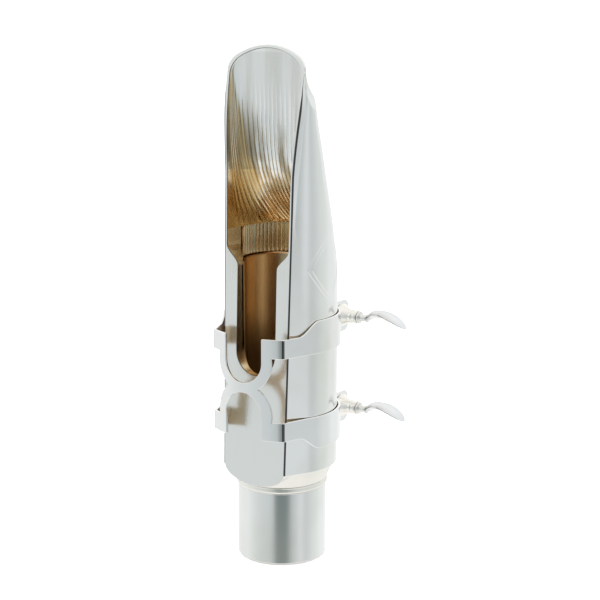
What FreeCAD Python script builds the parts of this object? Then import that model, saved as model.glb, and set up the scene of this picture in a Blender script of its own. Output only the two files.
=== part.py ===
"""Metal tenor saxophone mouthpiece with a two-screw ligature.

+Z runs along the bore towards the tip. The origin is the centre of the shank's open end.
The flat table faces -Y, the screws lie behind the body with their paddles towards +X.
"""
import FreeCAD
import Part
import Sketcher
import math
import os

Vector = FreeCAD.Vector
doc = FreeCAD.newDocument("mouthpiece")
sheet = doc.addObject("Spreadsheet::Sheet", "sizes")

SIZES = {
    # shank and bore
    "overall_length": 105.0,
    "shank_radius": 9.15,
    "shank_length": 15.1,
    "bore_radius": 8.0,
    "neck_bore_depth": 24.0,
    "through_bore_radius": 7.75,
    "neck_wall": 0.5,
    "sleeve_top": 62.0,
    "mouth_chamfer": 0.3,
    # bead and shoulder
    "bead_height": 1.3,
    "bead_overhang": 0.25,
    "shoulder_top": 20.1,
    "shoulder_step": 0.5,
    # body and beak
    "body_radius": 11.4,
    "beak_start": 58.0,
    "body_edge": 6.44,
    "beak_edge_start": 4.6,
    "beak_edge_tip": -4.0,
    "beak_roof_tip": -3.3,
    "beak_crown": 0.6,
    "table_offset": 10.68,
    "table_slope": 2.15,
    "heel_half_width": 7.55,
    "rail_half_width": 8.2,
    "tip_half_width": 9.2,
    "facing_length": 25.0,
    "tip_opening": 2.7,
    "tip_arc_radius": 14.5,
    "tip_corner_radius": 4.2,
    "tongue_bottom": 16.8,
    "tongue_depth": 5.0,
    "tongue_root": 1.0,
    "tongue_straight": 0.4,
    # window, flutes and chamber
    "window_bottom": 39.6,
    "window_half_width": 4.7,
    "window_step": 61.6,
    "window_step_height": 3.0,
    "rail_width": 0.8,
    "flute_ring_height": 6.5,
    "flute_ring_wall": 0.7,
    "flute_depth": 0.25,
    "flute_count": 56,
    "tip_rail": 1.8,
    "baffle_drop": 0.38,
    "chamber_clearance": 0.1,
    "chamber_side_drop": 3.0,
    "chamber_crown": 0.45,
    # bite plate
    "plate_half_width": 5.5,
    "plate_low": 74.0,
    "plate_high": 97.0,
    "plate_depth": 1.5,
    "plate_gap": 0.02,
    # ligature band
    "band_middle": 38.2,
    "band_thickness": 0.5,
    "band_clearance": 0.2,
    "plate_overhang": 1.05,
    "plate_standoff": 0.92,
    "plate_curve": 18.4,
    "corner_bend": 0.9,
    "side_gap_front": 1.5,
    "ear_bend": 0.7,
    "ear_gap": 9.6,
    "ear_beyond": 2.8,
    "ear_corner": 1.6,
    "strap_inner": 6.5,
    "strap_front": 10.4,
    "strap_back": 13.2,
    "sweep_start": 8.0,
    "sweep_end": 3.2,
    "notch_half_width": 4.35,
    "notch_centre": 5.35,
    "arm_width": 2.15,
    # screws
    "screw_standoff": 2.8,
    "screw_upper": 10.2,
    "screw_lower": -9.4,
    "rod_radius": 1.42,
    "rod_clearance": 0.06,
    "rod_lead": 0.4,
    "rod_lead_depth": 0.3,
    "thread_clearance": 0.04,
    "ferrule_wall": 0.98,
    "ferrule_length": 4.2,
    "ferrule_gap": 0.05,
    "stop_overhang": 0.36,
    "stop_thickness": 0.5,
    "neck_radius": 0.75,
    "neck_length": 1.7,
    "post_length": 4.4,
    "post_lead": 0.3,
    # thumb paddles
    "paddle_length": 8.9,
    "paddle_half_width": 3.5,
    "paddle_turn": -13.0,
    "paddle_thickness": 1.3,
    "paddle_rise": 1.5,
    "paddle_drop": 1.1,
    "paddle_root_margin": 0.5,
    "paddle_heel": 0.9,
    "paddle_heel_rise": 0.35,
}

for row, (alias, number) in enumerate(SIZES.items(), start=1):
    sheet.set(f"A{row}", alias)
    sheet.set(f"B{row}", str(number))
    sheet.setAlias(f"B{row}", alias)
doc.recompute()


def size(alias):
    return float(sheet.get(alias))


def cell(expression):
    """An expression over the sheet's aliases, as an object of the document reads it."""
    for alias in sorted(SIZES, key=len, reverse=True):
        expression = expression.replace("@" + alias + " ", "sizes." + alias + " ")
    return expression.strip()


def bind(thing, prop, expression):
    thing.setExpression(prop, cell(expression + " "))


def number_of(value):
    """The number that a coordinate stands for, whether it is a number or an expression."""
    if isinstance(value, str):
        return float(sheet.evalExpression(cell(value + " ")))
    return float(value)


# ---------------------------------------------------------------- sketches

UPRIGHT = FreeCAD.Rotation(Vector(1, 0, 0), 90)
SIDEWAYS = FreeCAD.Rotation(Vector(1, 1, 1), 120)
FLAT = FreeCAD.Rotation()
ORIGIN_POINT = (-1, 1)
X_AXIS = -1
Y_AXIS = -2


def fix_point(sketch, index, which, point):
    """Lock one end of a sketch edge to its coordinates, which may be expressions."""
    for kind, axis, value in (("DistanceX", Y_AXIS, point[0]), ("DistanceY", X_AXIS, point[1])):
        if abs(number_of(value)) < 1e-9:
            sketch.addConstraint(Sketcher.Constraint("PointOnObject", index, which, axis))
            continue
        constraint = Sketcher.Constraint(kind, *ORIGIN_POINT, index, which, number_of(value))
        place = sketch.addConstraint(constraint)
        if isinstance(value, str):
            bind(sketch, f"Constraints[{place}]", value)


def draw(sketch, steps):
    """Draw a closed outline. A step is a corner point, or a pair of a middle and an end point
    for an arc; the first step is the starting corner."""
    start = steps[0]
    corners = [start]
    for step in steps[1:]:
        is_arc = isinstance(step[0], tuple)
        end = step[1] if is_arc else step
        first = Vector(number_of(corners[-1][0]), number_of(corners[-1][1]), 0)
        last = Vector(number_of(end[0]), number_of(end[1]), 0)
        if is_arc:
            middle = Vector(number_of(step[0][0]), number_of(step[0][1]), 0)
            sketch.addGeometry(Part.Arc(first, middle, last), False)
        else:
            sketch.addGeometry(Part.LineSegment(first, last), False)
        corners.append(end)
    return sketch


def free_sketch(name, rotation, steps, base=Vector(0, 0, 0)):
    sketch = doc.addObject("Sketcher::SketchObject", name)
    sketch.Placement = FreeCAD.Placement(base, rotation)
    return draw(sketch, steps + [steps[0]])


def origin_plane(body, role):
    return next(item for item in body.Origin.OriginFeatures if item.Role == role)


def polygon_in_body(body, name, role, points):
    """A closed polygon on one of the body's origin planes, with every corner locked to the sheet."""
    sketch = body.newObject("Sketcher::SketchObject", name)
    sketch.AttachmentSupport = [(origin_plane(body, role), "")]
    sketch.MapMode = "FlatFace"
    count = len(points)
    for index in range(count):
        after = points[(index + 1) % count]
        first = Vector(number_of(points[index][0]), number_of(points[index][1]), 0)
        last = Vector(number_of(after[0]), number_of(after[1]), 0)
        sketch.addGeometry(Part.LineSegment(first, last), False)
    for index in range(count):
        sketch.addConstraint(Sketcher.Constraint("Coincident", index, 2, (index + 1) % count, 1))
    for index in range(count):
        fix_point(sketch, index, 1, points[index])
    return sketch


def turned(label, points):
    """A turned piece: its half section, as (radius, height) corners, revolved about its own Z."""
    body = doc.addObject("PartDesign::Body", label)
    body.Label = label
    profile = polygon_in_body(body, label + "_profile", "XZ_Plane", points)
    revolution = body.newObject("PartDesign::Revolution", label + "_revolution")
    revolution.Profile = profile
    revolution.ReferenceAxis = (profile, ["V_Axis"])
    revolution.Angle = 360
    body.Tip = revolution
    return body


# ---------------------------------------------------------------- booleans

def extrusion(name, sketch, direction, forward, backward=0.0):
    solid = doc.addObject("Part::Extrusion", name)
    solid.Base = sketch
    solid.DirMode = "Custom"
    solid.Dir = direction
    solid.LengthFwd = number_of(forward)
    solid.LengthRev = number_of(backward)
    if isinstance(forward, str):
        bind(solid, "LengthFwd", forward)
    if isinstance(backward, str):
        bind(solid, "LengthRev", backward)
    solid.Solid = True
    return solid


def fuse(name, pieces):
    result = doc.addObject("Part::MultiFuse", name)
    result.Shapes = pieces
    return result


def cut(name, base, tool):
    result = doc.addObject("Part::Cut", name)
    result.Base = base
    result.Tool = tool
    return result


def common(name, first, second):
    result = doc.addObject("Part::MultiCommon", name)
    result.Shapes = [first, second]
    return result


def cylinder(name, radius, height, placement=None):
    solid = doc.addObject("Part::Cylinder", name)
    bind(solid, "Radius", radius)
    bind(solid, "Height", height)
    if placement is not None:
        solid.Placement = placement
    return solid


SLEEVE_RADIUS = "@bore_radius + @neck_wall "
SCREW_Y = "@body_radius + @screw_standoff "
BEYOND = 30.0
MARGIN = 3.0
OVERLAP = 0.01
BEAK_SECTIONS = 11
# the beak's blank runs past the tip by this share, and is then cut back to the tip's outline
BEAK_OVERRUN = 1.03
# how fast the beak's sides go from round to straight, and how much its roof edge bows
SIDE_FLATTENING = 2.2
EDGE_BOW = 2.4
LEAST_BULGE = 0.03
TIP_EXTRA = 0.1
# the largest share of a corner's distance that a circle touched from it may have
TANGENT_LIMIT = 0.999
# how deep the chamber's back lies, as a share of the bore, at shares of its height
CHAMBER_BACK = ((0.0, 1.0), (0.09, 0.80), (0.38, 0.43), (0.7, 0.155), (1.0, 0.0))
# the flutes' round grooves take this share of their pitch
GROOVE_SHARE = 0.85
# bead: overhang at shares of its height
BEAD_PROFILE = ((0.0, 0.0), (0.35, 1.0), (0.75, 1.0), (1.0, 0.4))
# bells and posts: share of the wall left at shares of the length
FERRULE_PROFILE = ((0.0, 1.0), (0.22, 1.0), (0.36, 0.64), (0.9, 0.43), (1.0, 0.3))
POST_PROFILE = ((0.0, 1.0), (0.25, 1.0), (0.4, 0.6))
POST_NECK = 0.44
POST_END = 0.2
ROD_ENGAGED = 0.85
# paddle: where its top and underside crest, and where its plan is widest, as shares of its length
PADDLE_UNDERSIDE_CREST = 0.45
PADDLE_CREST = 0.42
PADDLE_SHOULDER = 0.93
PADDLE_FLARE = 0.45
PADDLE_TIP_EXTRA = 0.2
ALONG_X = Vector(1, 0, 0)
ALONG_Y = Vector(0, 1, 0)
ALONG_Z = Vector(0, 0, 1)
HALF_ARC = math.sqrt(0.5)


def mirrored(point):
    return (-point[0], point[1])


# ---------------------------------------------------------------- mouthpiece geometry

def table_y(height):
    return -(size("table_offset") - height * math.tan(math.radians(size("table_slope"))))


def beak_share(height):
    start = size("beak_start")
    return (height - start) / (size("overall_length") - start)


def half_width(height):
    """Half the table's width: it widens slowly up to the facing, then flares to the tip."""
    facing_start = size("overall_length") - size("facing_length")
    heel = size("shoulder_top")
    if height <= facing_start:
        share = (height - heel) / (facing_start - heel)
        return size("heel_half_width") + share * (size("rail_half_width") - size("heel_half_width"))
    share = (height - facing_start) / size("facing_length")
    flare = size("tip_half_width") - size("rail_half_width")
    return size("rail_half_width") + flare * math.sin(share * math.pi / 2)


def tangent_angle(radius, corner):
    """Polar angle at which a line from the table's corner touches the round back."""
    distance = math.hypot(*corner)
    return math.atan2(corner[1], corner[0]) + math.acos(min(1.0, radius / distance))


def between(first, second, share):
    return tuple(a + share * (b - a) for a, b in zip(first, second))


def roof_y(height):
    """The beak's back along its middle, a slightly crowned line from the body to the tip."""
    share = beak_share(height)
    fall = size("beak_roof_tip") - size("body_radius")
    return size("body_radius") + fall * share + 4 * size("beak_crown") * share * (1 - share)


def section_corners(height):
    """Right-hand corners of the body's section: table corner, touch, bulge and roof edge."""
    corner = (half_width(height), table_y(height))
    radius = min(size("body_radius"), math.hypot(*corner) * TANGENT_LIMIT)
    touch_angle = tangent_angle(radius, corner)
    touch = (radius * math.cos(touch_angle), radius * math.sin(touch_angle))
    share = max(0.0, beak_share(height))
    if share == 0:
        edge_y = size("body_edge")
    else:
        drop = size("beak_edge_tip") - size("beak_edge_start")
        bow = EDGE_BOW * size("beak_crown") * share * (1 - share)
        edge_y = size("beak_edge_start") + drop * share - bow
    edge = (math.sqrt(radius ** 2 - edge_y ** 2), edge_y)
    middle_angle = (touch_angle + math.atan2(edge[1], edge[0])) / 2
    bulge = (radius * math.cos(middle_angle), radius * math.sin(middle_angle))
    flat = min(1.0, share) ** SIDE_FLATTENING
    edge = between(edge, (size("tip_half_width") + TIP_EXTRA, edge_y), flat)
    touch = between(touch, between(corner, edge, 0.5), flat)
    straight = between(touch, edge, 0.5)
    bulge = between(bulge, (straight[0] + LEAST_BULGE, straight[1]), flat)
    return corner, touch, bulge, edge


def section(name, height):
    """Outline of the body at one height: table, side flats, round back and beak roof."""
    corner, touch, bulge, edge = section_corners(height)
    roof = size("body_radius") if beak_share(height) <= 0 else roof_y(height)
    steps = [
        mirrored(corner),
        corner,
        touch,
        (bulge, edge),
        ((0.0, roof), mirrored(edge)),
        (mirrored(bulge), mirrored(touch)),
    ]
    return free_sketch(name, FLAT, steps, Vector(0, 0, height))


def loft(name, sketches, ruled):
    result = doc.addObject("Part::Loft", name)
    result.Sections = sketches
    result.Solid = True
    result.Ruled = ruled
    return result


def lower_blank():
    heights = [size("shoulder_top"), size("beak_start")]
    return loft("lower_blank", [section(f"lower_section_{i}", z) for i, z in enumerate(heights)], True)


def beak_blank(name):
    """The beak's outer form, a little too long, before the facing and the tip are cut."""
    start = size("beak_start")
    reach = size("overall_length") - start
    shares = [BEAK_OVERRUN * i / (BEAK_SECTIONS - 1) for i in range(BEAK_SECTIONS)]
    sketches = [section(f"{name}_section_{i}", start + reach * share) for i, share in enumerate(shares)]
    return loft(name, sketches, True)


def shoulder_cone():
    return turned("shoulder_cone", [
        (SLEEVE_RADIUS, "@shank_length + @bead_height "),
        ("@shank_radius + @bead_overhang ", "@shank_length + @bead_height "),
        ("@body_radius - @shoulder_step ", f"@shoulder_top + {OVERLAP}"),
        (SLEEVE_RADIUS, f"@shoulder_top + {OVERLAP}"),
    ])


def tongue():
    """The table's round lower end, which stands on the shoulder below the body's edge."""
    bottom = size("tongue_bottom")
    top = size("shoulder_top") + size("tongue_root")
    side = size("shoulder_top") + size("tongue_straight")
    width = size("heel_half_width")
    shoulder = (width * HALF_ARC, side - (side - bottom) * HALF_ARC)
    steps = [
        (-width, top),
        (width, top),
        (width, side),
        (shoulder, (0.0, bottom)),
        (mirrored(shoulder), (-width, side)),
    ]
    outline = free_sketch("tongue_outline", UPRIGHT, steps, Vector(0, table_y(bottom), 0))
    return extrusion("tongue", outline, ALONG_Y, "@tongue_depth ")


def facing_tool():
    """What lies in front of the flat table and the curved facing."""
    top = size("overall_length")
    low = size("tongue_bottom") - MARGIN
    start = top - size("facing_length")
    radius = size("facing_length") ** 2 / (2 * size("tip_opening"))
    half = size("facing_length") / 2
    middle = (table_y(start + half) + half ** 2 / (2 * radius), start + half)
    end = (table_y(top) + size("tip_opening"), top)
    beyond = (end[0] + MARGIN * (end[0] - middle[0]) / half, top + MARGIN)
    steps = [
        (table_y(low), low),
        (table_y(start), start),
        (middle, end),
        beyond,
        (-BEYOND, beyond[1]),
        (-BEYOND, low),
    ]
    outline = free_sketch("facing_outline", SIDEWAYS, steps)
    return extrusion("facing_tool", outline, ALONG_X, BEYOND, BEYOND)


def tip_tool():
    """What lies beyond the tip's round outline: one wide arc between two corner arcs."""
    top = size("overall_length")
    tip = section_corners(top)[-1][0] + TIP_EXTRA / 2
    arc = size("tip_arc_radius")
    corner = size("tip_corner_radius")
    centre_x = tip - corner
    rise = math.sqrt((arc - corner) ** 2 - centre_x ** 2)
    centre_z = top - arc + rise
    angle = math.atan2(rise, centre_x)
    meet = (arc * math.cos(angle), top - arc + arc * math.sin(angle))
    half = angle / 2
    bend = (centre_x + corner * math.cos(half), centre_z + corner * math.sin(half))
    steps = [
        (-BEYOND, centre_z),
        (-tip, centre_z),
        (mirrored(bend), mirrored(meet)),
        ((0.0, top), meet),
        (bend, (tip, centre_z)),
        (BEYOND, centre_z),
        (BEYOND, top + BEYOND),
        (-BEYOND, top + BEYOND),
    ]
    outline = free_sketch("tip_outline", UPRIGHT, steps)
    return extrusion("tip_tool", outline, ALONG_Y, BEYOND, BEYOND)


def window_tool(name, front=BEYOND):
    """The window through the table: a round end low down, narrow sides, then a step out to the rails."""
    bottom = size("window_bottom")
    narrow = size("window_half_width")
    step = size("window_step")
    wide = half_width(step) - size("rail_width")
    top = size("sleeve_top") + size("flute_ring_height") + size("chamber_clearance")
    low_centre = bottom + narrow
    steps = [
        (-narrow, low_centre),
        ((0.0, bottom), (narrow, low_centre)),
        (narrow, step),
        (wide, step + size("window_step_height")),
        (wide, top),
        (-wide, top),
        (-wide, step + size("window_step_height")),
        (-narrow, step),
    ]
    outline = free_sketch(name + "_outline", UPRIGHT, steps)
    return extrusion(name, outline, ALONG_Y, 0.0, front)


def chamber_section(name, height, back, side):
    """A section of the chamber above the flutes, open to the front."""
    width = half_width(height) - size("rail_width")
    steps = [
        (-width, -BEYOND / 2),
        (width, -BEYOND / 2),
        (width, side),
        ((0.0, back), (-width, side)),
    ]
    return free_sketch(name, FLAT, steps, Vector(0, 0, height))


def chamber_tool():
    """The space under the beak: it ends in the baffle, which runs out at the tip rail."""
    low = size("sleeve_top") + size("flute_ring_height")
    high = size("overall_length") - size("tip_rail")
    radius = number_of(SLEEVE_RADIUS) - size("flute_ring_wall") + size("chamber_clearance")
    back_end = table_y(high) + size("tip_opening") - size("baffle_drop")
    sketches = []
    for index, (share, depth) in enumerate(CHAMBER_BACK):
        height = low + share * (high - low)
        back = back_end + depth * (radius - back_end)
        side = back - (radius - size("chamber_side_drop")) * depth - size("chamber_crown")
        sketches.append(chamber_section(f"chamber_section_{index}", height, back, side))
    return loft("chamber_tool", sketches, False)


def roof_slope():
    """Angle of the beak's roof against the bore, in degrees."""
    drop = size("body_radius") - size("beak_roof_tip")
    return math.degrees(math.atan2(drop, size("overall_length") - size("beak_start")))


def bite_tool(name, inset=0.0):
    """The seat of the bite plate: a prism with a round lower end, cut parallel to the roof."""
    low = size("plate_low") + inset
    high = size("plate_high") - inset
    width = size("plate_half_width") - inset
    depth = size("plate_depth") - inset
    tilt = math.radians(roof_slope())
    length = (high - low) / math.cos(tilt)
    foot = Vector(0, roof_y(low) - depth * math.cos(tilt), low - depth * math.sin(tilt))
    steps = [
        (-width, width),
        ((0.0, 0.0), (width, width)),
        (width, length),
        (-width, length),
    ]
    rotation = FreeCAD.Rotation(Vector(1, 0, 0), 90 + roof_slope())
    outline = free_sketch(name + "_outline", rotation, steps, foot)
    direction = Vector(0, math.cos(tilt), math.sin(tilt))
    return extrusion(name, outline, direction, BEYOND / 2)


def mouthpiece_body():
    shoulder = shoulder_cone()
    blank = fuse("outer_blank", [lower_blank(), beak_blank("beak"), shoulder, tongue()])
    faced = cut("faced_blank", blank, facing_tool())
    tipped = cut("tipped_blank", faced, tip_tool())
    socket_base = FreeCAD.Placement(Vector(0, 0, 0), FLAT)
    socket = cylinder("sleeve_socket", SLEEVE_RADIUS,
                      "@sleeve_top + @flute_ring_height ", socket_base)
    hollows = fuse("hollows", [socket, window_tool("body_window"), chamber_tool(), bite_tool("bite_seat")])
    body = cut("mouthpiece_body", tipped, hollows)
    body.Label = "mouthpiece_body"
    return body


def shank_tube():
    blank = turned("shank_blank", [
        ("@bore_radius ", "0"),
        ("@shank_radius - @mouth_chamfer ", "0"),
        ("@shank_radius ", "@mouth_chamfer "),
        ("@shank_radius ", "@shank_length "),
        (SLEEVE_RADIUS, "@shank_length "),
        (SLEEVE_RADIUS, "@sleeve_top "),
        ("@through_bore_radius ", "@sleeve_top "),
        ("@through_bore_radius ", "@neck_bore_depth "),
        ("@bore_radius ", "@neck_bore_depth "),
    ])
    tube = cut("shank_tube", blank, window_tool("tube_window"))
    tube.Label = "shank_tube"
    return tube


def shank_ring():
    outside = [
        (f"@shank_radius + @bead_overhang * {bulge}", f"@shank_length + @bead_height * {share}")
        for share, bulge in BEAD_PROFILE
    ]
    inside = [(SLEEVE_RADIUS, "@shank_length + @bead_height "), (SLEEVE_RADIUS, "@shank_length ")]
    return turned("shank_ring", outside + inside)


def chamber_ring():
    """The ring of upright flutes: a turned ring, one round groove and its polar pattern."""
    body = turned("flute_blank", [
        (SLEEVE_RADIUS + " - @flute_ring_wall ", "@sleeve_top "),
        (SLEEVE_RADIUS, "@sleeve_top "),
        (SLEEVE_RADIUS, "@sleeve_top + @flute_ring_height "),
        (SLEEVE_RADIUS + " - @flute_ring_wall ", "@sleeve_top + @flute_ring_height "),
    ])
    groove_sketch = body.newObject("Sketcher::SketchObject", "flute_profile")
    groove_sketch.AttachmentSupport = [(origin_plane(body, "XY_Plane"), "")]
    groove_sketch.MapMode = "FlatFace"
    bind(groove_sketch, "AttachmentOffset.Base.z", "@sleeve_top + @flute_ring_height ")
    inner = number_of(SLEEVE_RADIUS) - size("flute_ring_wall")
    groove_radius = inner * math.pi / size("flute_count") * GROOVE_SHARE
    centre = Vector(0, inner + size("flute_depth") - groove_radius, 0)
    groove_sketch.addGeometry(Part.Circle(centre, ALONG_Z, groove_radius), False)
    groove = body.newObject("PartDesign::Pocket", "flute_groove")
    groove.Profile = groove_sketch
    groove.Type = "Length"
    bind(groove, "Length", "@flute_ring_height ")
    pattern = body.newObject("PartDesign::PolarPattern", "flute_pattern")
    pattern.Originals = [groove]
    pattern.Axis = (groove_sketch, ["N_Axis"])
    pattern.Angle = 360
    pattern.Occurrences = int(size("flute_count"))
    body.Tip = pattern
    ring = cut("chamber_ring", body, window_tool("ring_window"))
    ring.Label = "chamber_ring"
    return ring


def bite_plate():
    plate = common("bite_plate", beak_blank("plate_blank"), bite_tool("bite_form", size("plate_gap")))
    plate.Label = "bite_plate"
    return plate


# ---------------------------------------------------------------- ligature

def plate_corner_y():
    """How far in front of the bore's axis the band's front corners lie."""
    return size("table_offset") + size("plate_standoff")


def ear_reach():
    return number_of(SCREW_Y) + size("ear_beyond")


def band_outline():
    """Half of the band's outer face seen from above: plate, corner bend, side, back and ear."""
    outer = size("body_radius") + size("band_clearance") + size("band_thickness")
    corner = (size("heel_half_width") + size("plate_overhang"), -plate_corner_y())
    curve = size("plate_curve")
    plate_front = -plate_corner_y() - (curve - math.sqrt(curve ** 2 - corner[0] ** 2))
    plate_centre = plate_front + curve
    touch_angle = tangent_angle(outer, corner)
    normal = (math.cos(touch_angle), math.sin(touch_angle))
    along = (normal[1], -normal[0])
    bend = size("corner_bend")
    base = (normal[0] * (outer - bend), normal[1] * (outer - bend) - plate_centre)
    half = base[0] * along[0] + base[1] * along[1]
    rest = base[0] ** 2 + base[1] ** 2 - (curve - bend) ** 2
    travel = -half + math.sqrt(half ** 2 - rest)
    bend_centre = (base[0] + travel * along[0], base[1] + travel * along[1] + plate_centre)
    side_low = (bend_centre[0] + bend * normal[0], bend_centre[1] + bend * normal[1])
    reach = math.hypot(bend_centre[0], bend_centre[1] - plate_centre)
    toward = (bend_centre[0] / reach, (bend_centre[1] - plate_centre) / reach)
    plate_end = (curve * toward[0], plate_centre + curve * toward[1])
    middle = (normal[0] + toward[0], normal[1] + toward[1])
    norm = math.hypot(*middle)
    bend_middle = (bend_centre[0] + bend * middle[0] / norm, bend_centre[1] + bend * middle[1] / norm)
    touch = (outer * normal[0], outer * normal[1])
    ear_x = size("ear_gap") / 2 + size("band_thickness")
    ear_bend = size("ear_bend")
    ear_centre = (ear_x + ear_bend, math.sqrt((outer + ear_bend) ** 2 - (ear_x + ear_bend) ** 2))
    ratio = outer / (outer + ear_bend)
    back_end = (ear_centre[0] * ratio, ear_centre[1] * ratio)
    back_middle_angle = (touch_angle + math.atan2(back_end[1], back_end[0])) / 2
    back_middle = (outer * math.cos(back_middle_angle), outer * math.sin(back_middle_angle))
    ear_low = (ear_x, ear_centre[1])
    turn = (math.pi + math.atan2(ear_centre[1], ear_centre[0]) + math.pi) / 2
    ear_middle = (ear_centre[0] + ear_bend * math.cos(turn), ear_centre[1] + ear_bend * math.sin(turn))
    return {
        "plate_front": (0.0, plate_front),
        "plate_end": plate_end,
        "bend_middle": bend_middle,
        "side_low": side_low,
        "touch": touch,
        "back_middle": back_middle,
        "back_end": back_end,
        "ear_middle": ear_middle,
        "ear_low": ear_low,
        "ear_top": (ear_x, ear_reach()),
    }


def band_sheet():
    """The bent sheet before its cut-outs: one open path, thickened inwards and made tall."""
    at = band_outline()
    path = doc.addObject("Sketcher::SketchObject", "band_path")
    bottom = size("band_middle") - size("strap_back")
    path.Placement = FreeCAD.Placement(Vector(0, 0, bottom), FLAT)
    draw(path, [
        at["ear_top"],
        at["ear_low"],
        (at["ear_middle"], at["back_end"]),
        (at["back_middle"], at["touch"]),
        at["side_low"],
        (at["bend_middle"], at["plate_end"]),
        (at["plate_front"], mirrored(at["plate_end"])),
        (mirrored(at["bend_middle"]), mirrored(at["side_low"])),
        mirrored(at["touch"]),
        (mirrored(at["back_middle"]), mirrored(at["back_end"])),
        (mirrored(at["ear_middle"]), mirrored(at["ear_low"])),
        mirrored(at["ear_top"]),
    ])
    doc.recompute()
    strip = doc.addObject("Part::Offset2D", "band_strip")
    strip.Source = path
    strip.Mode = "Skin"
    strip.Join = "Arc"
    strip.Fill = True
    bind(strip, "Value", "@band_thickness ")
    return extrusion("band_sheet", strip, ALONG_Z, "2 * @strap_back ")


def strap_edge_tool(name, sign):
    """Above the upper strap, or below the lower one: the strap grows taller in an S on the side."""
    middle = size("band_middle")
    front = size("strap_front")
    back = size("strap_back")
    start = -size("sweep_start")
    end = -size("sweep_end")
    half_run = (end - start) / 2
    half_rise = (back - front) / 2
    radius = (half_run ** 2 + half_rise ** 2) / (2 * half_rise)
    angle = math.asin(half_run / radius) / 2
    low_bend = (start + radius * math.sin(angle), front + radius * (1 - math.cos(angle)))
    high_bend = (end - radius * math.sin(angle), back - radius * (1 - math.cos(angle)))
    steps = [
        (-BEYOND, front),
        (start, front),
        (low_bend, (start + half_run, front + half_rise)),
        (high_bend, (end, back)),
        (end, back + MARGIN),
        (-BEYOND, back + MARGIN),
    ]
    steps = [flip(step, sign, middle) for step in steps]
    outline = free_sketch(name + "_outline", SIDEWAYS, steps)
    return extrusion(name, outline, ALONG_X, BEYOND, BEYOND)


def flip(step, sign, middle):
    """A step measured from the ligature's middle height, turned upside down where sign is -1."""
    if isinstance(step[0], tuple):
        return tuple(flip(point, sign, middle) for point in step)
    return (step[0], middle + sign * step[1])


def side_gap_tool():
    """Between the straps on the sides and the back."""
    middle = size("band_middle")
    inner = size("strap_inner")
    front = size("side_gap_front") - plate_corner_y()
    steps = [
        (front, middle - inner),
        (BEYOND, middle - inner),
        (BEYOND, middle + inner),
        (front, middle + inner),
    ]
    outline = free_sketch("side_gap_outline", SIDEWAYS, steps)
    return extrusion("side_gap_tool", outline, ALONG_X, BEYOND, BEYOND)


def notch_tool(name, sign):
    """The U-shaped notch that leaves the plate's two arms, open at the top or the bottom."""
    middle = size("band_middle")
    width = size("notch_half_width")
    centre = size("notch_centre")
    end = size("strap_back") + MARGIN
    steps = [
        (-width, centre),
        ((0.0, centre - width), (width, centre)),
        (width, end),
        (-width, end),
    ]
    outline = free_sketch(name + "_outline", UPRIGHT, [flip(step, sign, middle) for step in steps])
    return extrusion(name, outline, ALONG_Y, 0.0, BEYOND)


def waist_tool(name, side):
    """Beside the plate's waist: two arcs that follow the notches at the arms' width."""
    middle = size("band_middle")
    centre = size("notch_centre")
    radius = size("notch_half_width") + size("arm_width")
    inner = size("strap_inner")
    waist = math.sqrt(radius ** 2 - centre ** 2)
    at_strap = math.sqrt(radius ** 2 - (inner - centre) ** 2)
    angle = (math.atan2(-centre, waist) + math.atan2(inner - centre, at_strap)) / 2
    bulge = (radius * math.cos(angle), centre + radius * math.sin(angle))
    steps = [
        (side * waist, middle),
        ((side * bulge[0], middle + bulge[1]), (side * at_strap, middle + inner)),
        (side * BEYOND, middle + inner),
        (side * BEYOND, middle - inner),
        (side * at_strap, middle - inner),
        ((side * bulge[0], middle - bulge[1]), (side * waist, middle)),
    ]
    sketch = doc.addObject("Sketcher::SketchObject", name + "_outline")
    sketch.Placement = FreeCAD.Placement(Vector(0, 0, 0), UPRIGHT)
    draw(sketch, steps)
    return extrusion(name, sketch, ALONG_Y, 0.0, BEYOND)


def ear_corner_tool(name, low, high):
    """Rounds the ear's two outer corners, between two heights above the band's middle."""
    middle = size("band_middle")
    corner = size("ear_corner")
    reach = ear_reach()
    diagonal = corner * (1 - HALF_ARC)
    frame = [
        (reach - corner, middle + low - MARGIN),
        (reach + MARGIN, middle + low - MARGIN),
        (reach + MARGIN, middle + high + MARGIN),
        (reach - corner, middle + high + MARGIN),
        (reach - corner, middle + high),
        ((reach - diagonal, middle + high - diagonal), (reach, middle + high - corner)),
        (reach, middle + low + corner),
        ((reach - diagonal, middle + low + diagonal), (reach - corner, middle + low)),
    ]
    outline = free_sketch(name + "_outline", SIDEWAYS, frame)
    return extrusion(name, outline, ALONG_X, BEYOND, BEYOND)


def screw_place(x_expression, screw, turn=90):
    """A turned piece's own Z laid along X, at one screw's height."""
    rotation = FreeCAD.Rotation(Vector(0, 1, 0), turn)
    height = size("band_middle") + size(screw)
    return FreeCAD.Placement(Vector(number_of(x_expression), number_of(SCREW_Y), height), rotation)


def lay_on_screw(piece, x_expression, screw, turn=90):
    piece.Placement = screw_place(x_expression, screw, turn)
    bind(piece, "Placement.Base.x", x_expression)
    bind(piece, "Placement.Base.y", SCREW_Y)
    bind(piece, "Placement.Base.z", f"@band_middle + @{screw} ")
    return piece


SCREWS = {"upper": "screw_upper", "lower": "screw_lower"}


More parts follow.
